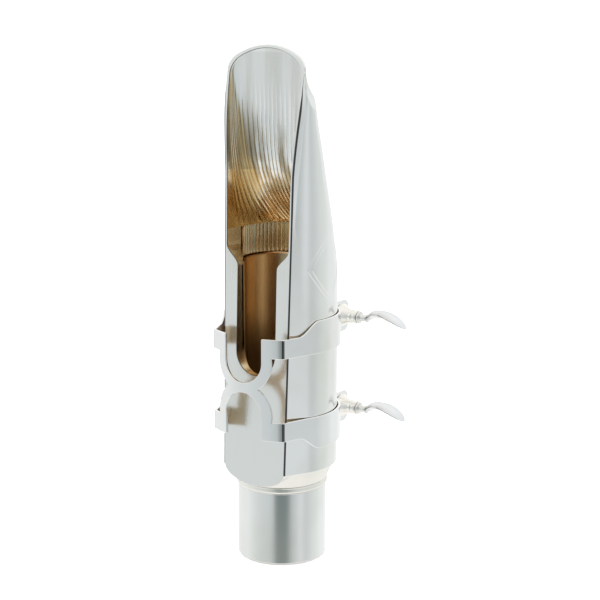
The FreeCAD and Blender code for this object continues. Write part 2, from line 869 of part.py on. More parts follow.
def ligature_band():
    upper = (size("strap_inner"), size("strap_back"))
    tools = [
        strap_edge_tool("upper_edge_tool", 1),
        strap_edge_tool("lower_edge_tool", -1),
        side_gap_tool(),
        notch_tool("upper_notch_tool", 1),
        notch_tool("lower_notch_tool", -1),
        waist_tool("left_waist_tool", -1),
        waist_tool("right_waist_tool", 1),
        ear_corner_tool("upper_ear_tool", upper[0], upper[1]),
        ear_corner_tool("lower_ear_tool", -upper[1], -upper[0]),
    ]
    for name, screw in SCREWS.items():
        hole = cylinder(f"ear_hole_{name}", "@rod_radius + 2 * @rod_clearance ", "@ear_gap * 2")
        tools.append(lay_on_screw(hole, "-@ear_gap ", screw))
    band = cut("ligature_band", band_sheet(), fuse("band_cutouts", tools))
    band.Label = "ligature_band"
    return band


EAR_FACE = "@ear_gap / 2 + @band_thickness "


def ferrule(name, screw):
    """A loose bell on the screw: wide against the ear, narrow under the stop."""
    outside = [
        (f"@rod_radius + @ferrule_wall * {wall}", f"@ferrule_length * {share}")
        for share, wall in FERRULE_PROFILE
    ]
    hole = "@rod_radius + @rod_clearance "
    body = turned(f"ferrule_{name}", outside + [(hole, "@ferrule_length "), (hole, "0")])
    return lay_on_screw(body, EAR_FACE + "+ @ferrule_gap ", screw)


def threaded_post(name, screw):
    """The post that takes the thread, brazed to the far ear; open at both ends."""
    outside = [
        (f"@rod_radius + @ferrule_wall * {wall}", f"@post_length * {share}")
        for share, wall in POST_PROFILE
    ]
    outside.append((f"@rod_radius + @ferrule_wall * {POST_NECK}", "@post_length - @post_lead "))
    outside.append((f"@rod_radius + @ferrule_wall * {POST_END}", "@post_length "))
    hole = "@rod_radius + @thread_clearance "
    body = turned(f"threaded_post_{name}", outside + [(hole, "@post_length "), (hole, "0")])
    return lay_on_screw(body, "-(" + EAR_FACE + ")", screw, -90)


ROD_START = f"-({EAR_FACE}) - @post_length * {ROD_ENGAGED}"
HEAD_FACE = EAR_FACE + "+ 2 * @ferrule_gap + @ferrule_length "


def screw_rod(name, screw):
    """The threaded rod, with its stop against the ferrule and the thin neck of the head."""
    length = f"({HEAD_FACE} - ({ROD_START}))"
    body = turned(f"screw_rod_{name}", [
        ("0", "0"),
        ("@rod_radius - @rod_lead_depth ", "0"),
        ("@rod_radius ", "@rod_lead "),
        ("@rod_radius ", length),
        ("@rod_radius + @stop_overhang ", length),
        ("@rod_radius + @stop_overhang ", length + "+ @stop_thickness "),
        ("@neck_radius ", length + "+ @stop_thickness "),
        ("@neck_radius ", length + "+ @stop_thickness + @neck_length "),
        ("0", length + "+ @stop_thickness + @neck_length "),
    ])
    return lay_on_screw(body, ROD_START, screw)


def thumb_paddle(name, screw):
    """The curved paddle: a bent edge profile, narrowed to a rounded spade seen from above."""
    length = size("paddle_length")
    rise = size("paddle_rise")
    drop = size("paddle_drop")
    thick = size("paddle_thickness")
    neck = size("neck_radius")
    start = number_of(HEAD_FACE + "+ @stop_thickness + @neck_length ")
    height = size("band_middle") + size(screw)
    profile_steps = [
        (0.0, -neck),
        (size("paddle_heel"), -neck),
        ((length * PADDLE_UNDERSIDE_CREST, rise - thick / 2), (length, -drop - thick / 4)),
        ((length + PADDLE_TIP_EXTRA, thick / 5 - drop), (length - PADDLE_TIP_EXTRA / 2, thick / 2 - drop)),
        ((length * PADDLE_CREST, rise + thick / 2), (0.0, neck + size("paddle_heel_rise"))),
    ]
    profile = free_sketch(f"paddle_profile_{name}", UPRIGHT, profile_steps)
    half_bar = "@paddle_half_width * 2"
    bar = extrusion(f"paddle_bar_{name}", profile, ALONG_Y, half_bar, half_bar)
    width = size("paddle_half_width")
    root = neck + size("paddle_root_margin")
    shoulder = (length * PADDLE_CREST, width * PADDLE_SHOULDER)
    flare = (shoulder[0] * PADDLE_FLARE, root + (width - root) * PADDLE_CREST)
    plan_steps = [
        (0.0, -root),
        ((flare[0], -flare[1]), (shoulder[0], -shoulder[1])),
        ((length + PADDLE_TIP_EXTRA, 0.0), shoulder),
        (flare, (0.0, root)),
    ]
    plan = free_sketch(f"paddle_plan_{name}", FLAT, plan_steps, Vector(0, 0, -BEYOND / 2))
    form = extrusion(f"paddle_form_{name}", plan, ALONG_Z, BEYOND)
    paddle = common(f"thumb_paddle_{name}", bar, form)
    paddle.Label = f"thumb_paddle_{name}"
    turned_by = FreeCAD.Rotation(ALONG_X, size("paddle_turn"))
    paddle.Placement = FreeCAD.Placement(Vector(start, number_of(SCREW_Y), height), turned_by)
    bind(paddle, "Placement.Base.y", SCREW_Y)
    bind(paddle, "Placement.Base.z", f"@band_middle + @{screw} ")
    return paddle


# ---------------------------------------------------------------- build and write

parts = [mouthpiece_body(), shank_tube(), shank_ring(), chamber_ring(), bite_plate(), ligature_band()]
for name, screw in SCREWS.items():
    parts += [ferrule(name, screw), threaded_post(name, screw)]
    parts += [screw_rod(name, screw), thumb_paddle(name, screw)]
doc.recompute()

for item in doc.Objects:
    if "Invalid" in item.State or "Error" in item.State:
        raise RuntimeError(f"{item.Label} failed: {item.State}")
for piece in parts:
    if piece.Shape.isNull() or not piece.Shape.isValid() or not piece.Shape.Solids:
        raise RuntimeError(f"{piece.Label} has no valid solid")

os.makedirs("parts", exist_ok=True)
for piece in parts:
    piece.Shape.exportStep(f"parts/{piece.Label}.step")
    box = piece.Shape.BoundBox
    print(f"{piece.Label}: {piece.Shape.Volume:.1f} mm3, {len(piece.Shape.Solids)} solid(s), "
          f"x {box.XMin:.2f}..{box.XMax:.2f}, y {box.YMin:.2f}..{box.YMax:.2f}, "
          f"z {box.ZMin:.2f}..{box.ZMax:.2f}")
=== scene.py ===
import bpy
import bmesh
import math
import numpy as np
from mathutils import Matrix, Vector

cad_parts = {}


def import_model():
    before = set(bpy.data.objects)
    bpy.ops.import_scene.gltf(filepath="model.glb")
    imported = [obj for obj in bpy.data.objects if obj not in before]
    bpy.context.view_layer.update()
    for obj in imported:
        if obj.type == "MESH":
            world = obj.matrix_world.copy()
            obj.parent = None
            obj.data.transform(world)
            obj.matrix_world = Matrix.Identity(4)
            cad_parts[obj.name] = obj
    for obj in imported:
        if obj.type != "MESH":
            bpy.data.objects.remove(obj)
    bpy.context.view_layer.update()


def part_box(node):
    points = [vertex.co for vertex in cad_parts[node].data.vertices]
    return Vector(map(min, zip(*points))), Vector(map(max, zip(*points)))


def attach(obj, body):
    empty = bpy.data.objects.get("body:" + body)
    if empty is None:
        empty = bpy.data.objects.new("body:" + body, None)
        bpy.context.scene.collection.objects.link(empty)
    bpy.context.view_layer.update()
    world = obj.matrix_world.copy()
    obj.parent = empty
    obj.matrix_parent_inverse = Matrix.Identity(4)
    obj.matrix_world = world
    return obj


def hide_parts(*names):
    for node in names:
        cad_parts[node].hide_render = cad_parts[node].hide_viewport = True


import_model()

MM = 0.001


def span(node):
    """A CAD node's lowest and highest corners, in millimetres."""
    low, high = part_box(node)
    return [v / MM for v in low], [v / MM for v in high]


tube_high = span("shank_tube")[1]
bead_low, bead_high = span("shank_ring")
ring_low, ring_high = span("chamber_ring")
band_low, band_high = span("ligature_band")

# ---------------------------------------------------------------- sizes of the mouthpiece, in millimetres

TOP = span("mouthpiece_body")[1][2]
SHOULDER = bead_high[2] + 3.7
BODY_R, SLEEVE_R = 11.4, ring_high[0]
NECK_R, NECK_DEPTH, BORE_R = 8.0, 24.0, 7.75
FLUTES = 56

# the table, its facing, the tongue below it and the tip's outline
TABLE = 10.68
SLOPE = math.tan(math.radians(2.15))
HEEL_HALF, RAIL_HALF, TIP_HALF = 7.55, 8.2, 9.2
FACING, OPENING = 25.0, 2.7
TONGUE = 16.8
TIP_ARC, TIP_CORNER, TIP_ROUND = 14.5, 4.2, 0.22

# the window, with its step, rails and rounded lip
WINDOW_LOW, WINDOW_HALF = 39.6, 4.7
STEP, STEP_RISE = 61.6, 3.8
RAIL, TIP_RAIL, LIP, LIP_BACK = 0.6, 0.5, 0.14, 0.15

# the beak: its roof, the roof's edge, and the heights where its side thins and flattens into the tip
BEAK_START, BEND_START = 58.0, 88.0
ROOF_END, ROOF_BULGE = -3.3, 2.4
EDGE_BODY, EDGE_START, EDGE_FALL, EDGE_SAG = 6.44, 4.6, 8.6, 1.44
THINNING, FLATTENING = (94, 101.5), (91, 98.5)
CORNER_R = 0.5

# columns of the half section's fillet, facet, side and roof, and places in the body's list of materials
FILLET, FACET, SIDE, ROOF = 11, 6, 34, 40
SIDE_COLUMNS = FILLET + FACET - 1 + SIDE - 1
PAINTED_SHEEN, PAINTED_DARK_EDGE, LAPPED = 1, 2, 3


def smooth(value, low, high):
    """A soft step from 0 at low to 1 at high."""
    t = np.clip((np.asarray(value, float) - low) / (high - low), 0, 1)
    return t * t * (3 - 2 * t)


def leg(radius, other):
    """The second leg of a right triangle with this longest side, or 0."""
    return np.sqrt(np.maximum(0, radius ** 2 - np.square(other)))


def squareness(c, s, power):
    """What takes points of a round circle out to a superellipse of this power."""
    return (np.abs(c) ** power + np.abs(s) ** power) ** (-1 / power)


def table_y(z):
    return -(TABLE - z * SLOPE)


def front_y(z):
    """The table, and above it the curved facing that falls away to the tip."""
    past = np.maximum(0.0, z - (TOP - FACING))
    return table_y(z) + OPENING * (past / FACING) ** 2


def half_width(z):
    """Half the front's width: slowly wider up the table, then out to the tip."""
    start = TOP - FACING
    low = HEEL_HALF + (z - SHOULDER) / (start - SHOULDER) * (RAIL_HALF - HEEL_HALF)
    high = RAIL_HALF + (TIP_HALF - RAIL_HALF) * np.sin(np.clip((z - start) / FACING, 0, 1) * math.pi / 2)
    return np.where(z <= start, low, high)


def window_half(z):
    """Half the window's width: a round lower end, narrow, then the step out to thin rails."""
    wide = half_width(z) - RAIL
    upper = WINDOW_HALF + (wide - WINDOW_HALF) * smooth(z, STEP, STEP + STEP_RISE)
    drop = np.clip(WINDOW_LOW + WINDOW_HALF - z, 0, WINDOW_HALF)
    return np.where(drop > 0, leg(WINDOW_HALF, drop), upper)


# ---------------------------------------------------------------- meshes

def level(x, y, z):
    """A row of points at one height."""
    return np.column_stack([x, y, np.full(len(x), z)])


def on_front(x, z):
    """A row of points on the table and its facing."""
    return np.column_stack([x, front_y(z), z])


def patch(points, wrap=False, flip=False, material=0):
    """A grid of points as quads. wrap closes the grid across its columns."""
    points = np.asarray(points, float)
    rows, cols = points.shape[:2]
    index = np.arange(rows * cols).reshape(rows, cols)
    after = np.roll(index, -1, axis=1) if wrap else index[:, 1:]
    here = index if wrap else index[:, :-1]
    quads = np.stack([here[:-1], after[:-1], after[1:], here[1:]], axis=-1).reshape(-1, 4)
    if flip:
        quads = quads[:, ::-1]
    return points.reshape(-1, 3), quads, material


def unit(vectors):
    """The vectors at length 1."""
    return vectors / np.maximum(np.linalg.norm(vectors, axis=-1, keepdims=True), 1e-20)


def face_vectors(points, triangles):
    """Each triangle's normal, twice as long as its area."""
    first, second, third = (points[triangles[:, k]] for k in range(3))
    return np.cross(second - first, third - first)


def gathered(count, triangles, vectors):
    """Unit normals at the vertices, from the sum of the vectors of the triangles round each."""
    total = np.zeros((count, 3))
    for k in range(3):
        np.add.at(total, triangles[:, k], vectors)
    return unit(total)


def area_normals(mesh):
    """Vertex normals weighted by face area, so that broad faces stay flat beside narrow roundings."""
    mesh.calc_loop_triangles()
    points = np.array([v.co[:] for v in mesh.vertices])
    triangles = np.array([t.vertices[:] for t in mesh.loop_triangles])
    return gathered(len(points), triangles, face_vectors(points, triangles))


def in_scene(name, data):
    """A new object, linked to the scene."""
    thing = bpy.data.objects.new(name, data)
    bpy.context.scene.collection.objects.link(thing)
    return thing


def finished(name, mesh, materials, normals):
    """The mesh as an object, smooth shaded with its own normals."""
    for material in materials:
        mesh.materials.append(material)
    mesh.shade_smooth()
    mesh.normals_split_custom_set_from_vertices(normals.tolist())
    return in_scene(name, mesh)


def build(name, patches, materials):
    """One mesh object from patches in millimetres, welded where they meet and smooth shaded."""
    weld = 0.002 * MM
    points, quads, marks, start = [], [], [], 0
    for place, faces, material in patches:
        points.append(place)
        quads.append(faces + start)
        marks.append(np.full(len(faces), material))
        start += len(place)
    mesh = bpy.data.meshes.new(name)
    mesh.from_pydata((np.concatenate(points) * MM).tolist(), [], np.concatenate(quads).tolist())
    mesh.polygons.foreach_set("material_index", np.concatenate(marks).astype(np.int32))
    work = bmesh.new()
    work.from_mesh(mesh)
    bmesh.ops.remove_doubles(work, verts=work.verts, dist=weld)
    bmesh.ops.dissolve_degenerate(work, edges=work.edges, dist=weld / 2)
    work.to_mesh(mesh)
    work.free()
    return finished(name, mesh, materials, area_normals(mesh))


def fit(thing, body, slot, *replaced):
    """Fixes a piece to its body and hides the CAD nodes that it replaces. The slot is not used."""
    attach(thing, body)
    if replaced:
        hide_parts(*replaced)


def soft_bend(first, middle, last, share):
    """Points on a bend from first to last that is pulled towards middle."""
    return (1 - share) ** 2 * first + 2 * share * (1 - share) * middle + share * share * last


def rounded(points, radius, steps=4):
    """A polyline with its inner corners rounded."""
    points = [np.array(p, float) for p in points]
    share = np.linspace(0, 1, steps + 1)[:, None]
    out = [points[0]]
    for before, at, after in zip(points, points[1:], points[2:]):
        first, second = before - at, after - at
        reach = min(radius, np.linalg.norm(first) * 0.45, np.linalg.norm(second) * 0.45)
        out.extend(soft_bend(at + unit(first) * reach, at, at + unit(second) * reach, share))
    out.append(points[-1])
    return np.array(out)


def lathe(profile, around=96, origin=(0, 0, 0), axis="Z", flip=False, material=0):
    """A profile of (radius, height) pairs turned about an axis."""
    profile = np.asarray(profile, float)
    angle = np.linspace(0, 2 * math.pi, around, endpoint=False)
    radius, height = profile[:, :1], profile[:, 1:]
    first, second = radius * np.cos(angle), radius * np.sin(angle)
    along = np.repeat(height, around, axis=1)
    if axis == "Z":
        grid = np.stack([first, second, along], axis=-1)
    else:
        grid = np.stack([along, first, second], axis=-1)
    return patch(grid + np.array(origin), wrap=True, flip=flip, material=material)


# ---------------------------------------------------------------- outer form

def arc_through(first, middle, last, count):
    """Points on the arc from first to last through middle, in the plane."""
    (ax, ay), (bx, by), (cx, cy) = first, middle, last
    d = 2 * (ax * (by - cy) + bx * (cy - ay) + cx * (ay - by))
    if abs(d) < 1e-7:
        t = np.linspace(0, 1, count)[:, None]
        return np.array(first) * (1 - t) + np.array(last) * t
    a2, b2, c2 = ax * ax + ay * ay, bx * bx + by * by, cx * cx + cy * cy
    ux = (a2 * (by - cy) + b2 * (cy - ay) + c2 * (ay - by)) / d
    uy = (a2 * (cx - bx) + b2 * (ax - cx) + c2 * (bx - ax)) / d
    radius = math.hypot(ax - ux, ay - uy)
    start, mid, end = (math.atan2(y - uy, x - ux) for x, y in (first, middle, last))
    turn = (end - start) % (2 * math.pi)
    if (mid - start) % (2 * math.pi) > turn:
        turn -= 2 * math.pi
    angle = start + turn * np.linspace(0, 1, count)
    return np.stack([ux + radius * np.cos(angle), uy + radius * np.sin(angle)], axis=-1)


def beak_share(z):
    """How far up the beak a height is: 0 at its start and 1 at the tip."""
    return max(0.0, (z - BEAK_START) / (TOP - BEAK_START))


def roof_y(z):
    share = beak_share(z)
    return BODY_R + (ROOF_END - BODY_R) * share + ROOF_BULGE * share * (1 - share)


def corners(z):
    """Right half of the body's section: table corner, touch, bulge and roof edge."""
    corner = np.array([half_width(z), table_y(z)])
    size = math.hypot(*corner)
    radius = min(BODY_R, size * 0.999)
    angle = math.atan2(corner[1], corner[0]) + math.acos(radius / size)
    touch = radius * np.array([math.cos(angle), math.sin(angle)])
    share = beak_share(z)
    edge_y = EDGE_START - EDGE_FALL * share - EDGE_SAG * share * (1 - share)
    edge_y += (EDGE_BODY - edge_y) * (1 - smooth(share, 0, 0.12))
    edge_y -= (edge_y - front_y(z)) * 0.8 * smooth(z, *THINNING)
    edge = np.array([leg(radius, edge_y), edge_y])
    middle = (angle + math.atan2(edge[1], edge[0])) / 2
    bulge = radius * np.array([math.cos(middle), math.sin(middle)])
    flat = min(1.0, share) ** 2.2
    thin = smooth(z, *FLATTENING)
    edge = edge + max(flat, thin) * (np.array([TIP_HALF + 0.1, edge_y]) - edge)
    touch = touch + flat * ((corner + edge) / 2 - touch)
    real = np.array([corner[0], front_y(z)])
    touch = touch + thin * (real + 0.3 * (edge - real) - touch)
    bulge = bulge + max(flat, thin) * ((touch + edge) / 2 + np.array([0.03, 0]) - bulge)
    return corner, touch, bulge, edge


def resample(line, count, crowd=False):
    """A polyline as evenly spaced points, or with more of them near its start."""
    step = np.linalg.norm(np.diff(line, axis=0), axis=1)
    along = np.concatenate([[0], np.cumsum(step)])
    share = np.linspace(0, 1, count)
    if crowd:
        share = 1 - np.cos(share * math.pi / 2)
    want = along[-1] * share
    return np.stack([np.interp(want, along, line[:, k]) for k in range(line.shape[1])], axis=-1)


def half_section(z):
    """From the table's right corner round to the middle of the back, with both corners rounded."""
    corner, touch, bulge, edge = corners(z)
    front = front_y(z)
    along = unit(touch - corner)
    real = corner + along * (front - corner[1]) / max(along[1], 1e-6)
    turn = math.atan2(along[1], along[0])
    widest = 0.35 - 0.31 * smooth(z, 92, 99)
    reach = min(CORNER_R * math.tan(turn / 2), widest, 0.4 * max(0.02, touch[1] - front))
    last = real + along * reach
    fillet = soft_bend(real - np.array([reach, 0]), real, last, np.linspace(0, 1, FILLET)[:, None])
    facet = last + (touch - last) * np.linspace(0, 1, FACET + 1)[1:, None]
    side = arc_through(touch, bulge, edge, 80)
    roof = arc_through(edge, (0.0, roof_y(z)), (-edge[0], edge[1]), 161)[:81]
    joined = np.concatenate([side, roof[1:]])
    at = len(side) - 1
    blend = min(1.0 + 0.6 * smooth(z, 60, 75), 0.35 * (edge[1] - touch[1]) + 0.05)
    outside = np.linalg.norm(joined - joined[at], axis=1) >= blend
    low = np.flatnonzero(outside[:at])[-1]
    high = at + np.flatnonzero(outside[at:])[0]
    curve = soft_bend(joined[low], joined[at], joined[high], np.linspace(0, 1, 16)[:, None])
    half = len(curve) // 2
    flank = np.concatenate([joined[:low], curve[:half]])
    back = np.concatenate([curve[half - 1:], joined[high + 1:]])
    return np.concatenate([fillet, facet[:-1], resample(flank, SIDE)[:-1], resample(back, ROOF + 1, True)])


def full_section(z):
    half = half_section(z)
    return np.concatenate([half, half[::-1][1:] * np.array([-1, 1])])


TIP_CENTRE_X = TIP_HALF + 0.12 - TIP_CORNER
TIP_CENTRE_Z = TOP - TIP_ARC + leg(TIP_ARC - TIP_CORNER, TIP_CENTRE_X)


def tip_height(x):
    """Height of the tip's round outline at a distance from the middle."""
    x = np.abs(x)
    meet = TIP_ARC * TIP_CENTRE_X / (TIP_ARC - TIP_CORNER)
    corner = TIP_CENTRE_Z + leg(TIP_CORNER, np.maximum(0, x - TIP_CENTRE_X))
    return np.where(x < meet, TOP - TIP_ARC + leg(TIP_ARC, x), corner)


def tip_reach(z):
    """Half the width of the tip's outline at a height."""
    arc = leg(TIP_ARC, np.maximum(0, z - TOP + TIP_ARC))
    corner = TIP_CENTRE_X + leg(TIP_CORNER, np.maximum(0, z - TIP_CENTRE_Z))
    meet = TOP - TIP_ARC + TIP_ARC * (TIP_CENTRE_Z - TOP + TIP_ARC) / (TIP_ARC - TIP_CORNER)
    return np.where(z > meet, arc, corner)


def outer_rows():
    """Rows of the outer surface: level up to the bend's start, then bent to follow the tip's outline."""
    foot = SHOULDER + np.array([0.0, 0.05, 0.14, 0.3])
    heights = np.concatenate([foot, np.linspace(SHOULDER + 1, BEAK_START - 1, 26),
                              np.linspace(BEAK_START, BEND_START, 46)])
    rows = [level(*full_section(z).T, z) for z in heights]
    fine = np.linspace(BEND_START, TOP, 120)
    stack = np.array([full_section(z) for z in fine])
    cols = stack.shape[1]
    ends = np.empty(cols)
    for c in range(cols):
        over = fine - (tip_height(stack[:, c, 0]) - TIP_ROUND)
        k = max(int(np.argmax(over > 0)), 1) if (over > 0).any() else len(fine) - 1
        ends[c] = fine[k - 1] - over[k - 1] / (over[k] - over[k - 1]) * (fine[k] - fine[k - 1])
    side = ends[:SIDE_COLUMNS].min()
    ends[:SIDE_COLUMNS] = side
    ends[-SIDE_COLUMNS:] = side
    for share in np.linspace(0, 1, 44)[1:]:
        z = BEND_START + (ends - BEND_START) * (1 - (1 - share) ** 1.3)
        x, y = (np.array([np.interp(z[c], fine, stack[:, c, k]) for c in range(cols)]) for k in (0, 1))
        limit = tip_reach(z + TIP_ROUND) + 3.0 * (1 - smooth(z, 84, 98.5))
        rows.append(np.column_stack([np.clip(x, -limit, limit), y, z]))
    return np.array(rows)


def shoulder_round(first):
    """The body's lower edge rolled under, down to its foot."""
    roll, foot_r = 0.25, 10.4
    flat, outward = first[:, :2], unit(first[:, :2])
    out = [level(*(outward * foot_r).T, SHOULDER - roll)]
    for angle in np.linspace(math.pi / 2, 0, 5)[:-1]:
        inner = flat - outward * roll * (1 - math.cos(angle))
        out.append(level(*inner.T, SHOULDER - roll * math.sin(angle)))
    return np.array(out + [first])


def tip_end(end):
    """The tip's rounded end, as rows from the roof's last row to the facing, and the facing's edge there."""
    foot = end[:, [0, 2]]
    foot[:SIDE_COLUMNS] = foot[0]
    foot[-SIDE_COLUMNS:] = foot[-1]
    front = on_front(*foot.T)
    outward = (end + front) / 2 - np.array([0.0, 0.0, TOP - TIP_ARC * 0.75])
    outward[:, 1] = 0
    thick = np.maximum(np.abs(end[:, 1] - front[:, 1]), 0.06)
    bulge = np.minimum(TIP_ROUND, thick * 0.7) * smooth(end[:, 2], end[0, 2], end[0, 2] + 1.0)
    bulge = unit(outward) * bulge[:, None]
    out = []
    for angle in np.linspace(0, math.pi, 9):
        share = (1 - math.cos(angle)) / 2
        out.append(end * (1 - share) + front * share + bulge * math.sin(angle))
    return np.array(out), front[SIDE_COLUMNS:-SIDE_COLUMNS]


def front_loops(tip):
    """The front face's outer edge, and the window's edge with as many points."""
    seam = rows[:, 0]
    bend = np.linspace(-math.pi / 2, 0, 21)[:-1]
    right = on_front(seam[0, 0] * np.cos(bend), SHOULDER + (SHOULDER - TONGUE) * np.sin(bend))
    left = right[::-1] * np.array([-1, 1, 1])
    outer = np.concatenate([right, seam, tip, rows[::-1, -1], left[:-1]])
    straight_low, straight_high = 52, 90
    side_z = np.interp(seam[:, 2], [SHOULDER, straight_low, straight_high, seam[-1, 2]],
                       [WINDOW_LOW + WINDOW_HALF, straight_low, straight_high, TOP_SIDE])
    w_right = np.column_stack([WINDOW_HALF * np.cos(bend), WINDOW_LOW + WINDOW_HALF * (1 + np.sin(bend))])
    w_seam = np.column_stack([window_half(side_z), side_z])
    w_tip = np.column_stack([tip[:, 0] * window_half(TOP_SIDE) / abs(tip[0, 0]), tip[:, 2] - TIP_RAIL])
    mirror = np.array([-1, 1])
    return outer, np.concatenate([w_right, w_seam, w_tip, w_seam[::-1] * mirror, w_right[:0:-1] * mirror])


rows = outer_rows()
TOP_SIDE = rows[-1, 0, 2] - TIP_RAIL
end_rows, tip_edge = tip_end(rows[-1])


def ring_rows(outer, window):
    """The front face: rows from the outer loop in to the window's rounded lip."""
    ahead = unit(np.roll(window, -1, axis=0) - np.roll(window, 1, axis=0))
    normal = np.column_stack([ahead[:, 1], -ahead[:, 0]])
    out = [outer]
    for t in (0.04, 0.2, 0.5, 0.8, 0.96, 1.0):
        out.append(on_front(*(outer[:, [0, 2]] * (1 - t) + (window + normal * LIP) * t).T))
    for angle in np.linspace(0, math.pi / 2, 5)[1:]:
        row = on_front(*(window + normal * LIP * (1 - math.sin(angle))).T)
        row[:, 1] += LIP * (1 - math.cos(angle))
        out.append(row)
    return np.array(out)


front_rows = ring_rows(*front_loops(tip_edge))
lip_row = front_rows[-1]


def body_patches():
    """The outside, the tip's end, the front, the tongue's edge and the shoulder."""
    strips = np.arange(rows.shape[1] - 1)
    inward = np.minimum(strips, strips[::-1])
    # the table corner's fillet strips get the near-black edge silver: a painted dark reflection line along
    # the corner
    marks = np.tile(np.where((inward >= 1) & (inward <= FILLET - 3), PAINTED_DARK_EDGE, 0), len(rows) - 1)
    found = [patch(rows, material=marks), patch(shoulder_round(rows[0])), patch(end_rows)]
    marks = np.full(len(front_rows) - 1, LAPPED)
    # the window lip's last rows also get the painted dark reflection line
    marks[-3:] = PAINTED_DARK_EDGE
    found.append(patch(front_rows, wrap=True, material=np.repeat(marks, front_rows.shape[1])))
    # the tongue's edge, back into the shoulder
    bend = np.linspace(-math.pi / 2, math.pi / 2, 61)
    x, drop = rows[0, 0, 0] * np.sin(bend), (TONGUE - SHOULDER) * np.cos(bend)
    levels = []
    for angle in np.linspace(0, math.pi / 2, 5):
        grow, back = math.sin(angle), LIP_BACK * (1 - math.cos(angle))
        y = front_y(SHOULDER + drop) + back
        levels.append(np.column_stack([x * (1 + 0.012 * grow), y, SHOULDER + drop * (1 + 0.03 * grow)]))
    levels += [levels[-1] + np.array([0, depth, 0]) for depth in (1.0, 3.0, 6.0)]
    found.append(patch(np.array(levels)))
    # the shoulder's cone, in the bead's lighter cream silver: a painted reflection of the bright floor
    low_r, low_z, high_z = bead_high[0] - 0.12, bead_high[2], SHOULDER - 0.02
    cone = rounded([(low_r - 0.6, low_z), (low_r, low_z), (10.9, high_z), (10.2, high_z)], 0.2)
    place, faces, mark = lathe(cone, 144, material=PAINTED_SHEEN)
    place[:, 1] = np.maximum(place[:, 1], table_y(place[:, 2]) + 0.08)
    found.append((place, faces, mark))
    return found


def window_walls():
    """The cut faces under the window's lip, in to the sleeve: everything below the flutes' top."""
    index = np.flatnonzero(lip_row[:, 2] <= ring_high[2] + 0.6)
    gap = np.flatnonzero(np.diff(index) > 1)
    edge = lip_row[np.roll(index, -gap[0] - 1) if len(gap) else index]
    inner_y = 0.5 - leg(SLEEVE_R, np.minimum(np.abs(edge[:, 0]), SLEEVE_R - 0.02))
    grid = []
    for t in (0, 0.05, 0.3, 0.6, 1.0):
        grid.append(np.column_stack([edge[:, 0], edge[:, 1] * (1 - t) + inner_y * t, edge[:, 2]]))
    return patch(np.array(grid))


# the chamber's middle: pairs of a height and how deep it lies, from the flutes up a long shallow baffle
LINING_TOP = TOP - TIP_RAIL - TIP_ROUND
BAFFLE = [(ring_high[2] + rise, y) for rise, y in
          ((0, 7.95), (0.7, 7.1), (2.0, 5.3), (3.6, 3.4), (5.3, 1.6), (7.0, 0.3))]
BAFFLE += [(77.2, -0.8), (79.2, -1.8), (82.0, -2.75), (85.5, -3.35), (90.0, -3.75), (95.0, -4.05),
           (99.0, -4.22), (102.0, -4.3), (LINING_TOP, -4.25)]


def chamber_half(z):
    """Half the chamber's width at a height, following the tip's outline near the top."""
    if z < TOP_SIDE:
        return window_half(z)
    return tip_reach(z + TIP_RAIL + TIP_ROUND) * window_half(TOP_SIDE) / rows[-1, SIDE_COLUMNS, 0]


def chamber_lining():
    """The chamber's walls and the ridged baffle, as rows of rounded U sections."""
    low, close = ring_high[2] - 0.02, 98
    zs = np.concatenate([[low, low + 0.05, low + 0.15], np.linspace(low + 0.4, 80, 70),
                         np.linspace(80.4, close, 50),
                         close + (LINING_TOP - close) * np.sin(np.linspace(0, math.pi / 2, 40)[1:])])
    backs = np.interp(zs, *np.transpose(BAFFLE))
    for _ in range(12):
        backs[1:-1] = (backs[:-2] + 2 * backs[1:-1] + backs[2:]) / 4
    ridges = FLUTES // 2
    angle = np.linspace(0, math.pi, ridges * 12 + 1)
    c, s = np.cos(angle), np.sin(angle)
    wave = smooth(s, 0.12, 0.35) * (np.abs(np.sin(angle * ridges)) ** 0.8 - 0.5)
    out = []
    for z, back in zip(zs, backs):
        front = front_y(z) + LIP
        scale = squareness(c, s, 2.0 + 3.0 * smooth(z, 68, 82))
        x = chamber_half(z) * c * scale
        y = front + max(back - front, 0.0) * s * scale
        dx, dy = np.gradient(x), np.gradient(y)
        strength = 0.12 * smooth(z, low, low + 1.2) * (1 - smooth(z, 88, 100.5))
        move = strength * wave / np.maximum(np.hypot(dx, dy), 1e-9)
        out.append(level(x + dy * move, y - dx * move, z))
    return patch(np.array(out), flip=True)


def around_back(z, radius):
    """Points round the sleeve at one height, from the window's right edge to its left."""
    gap = np.arcsin(np.clip(window_half(z) / radius, 0, 1))
    angle = -math.pi / 2 + np.linspace(gap, 2 * math.pi - gap, 161)
    return level(radius * np.cos(angle), radius * np.sin(angle), z)


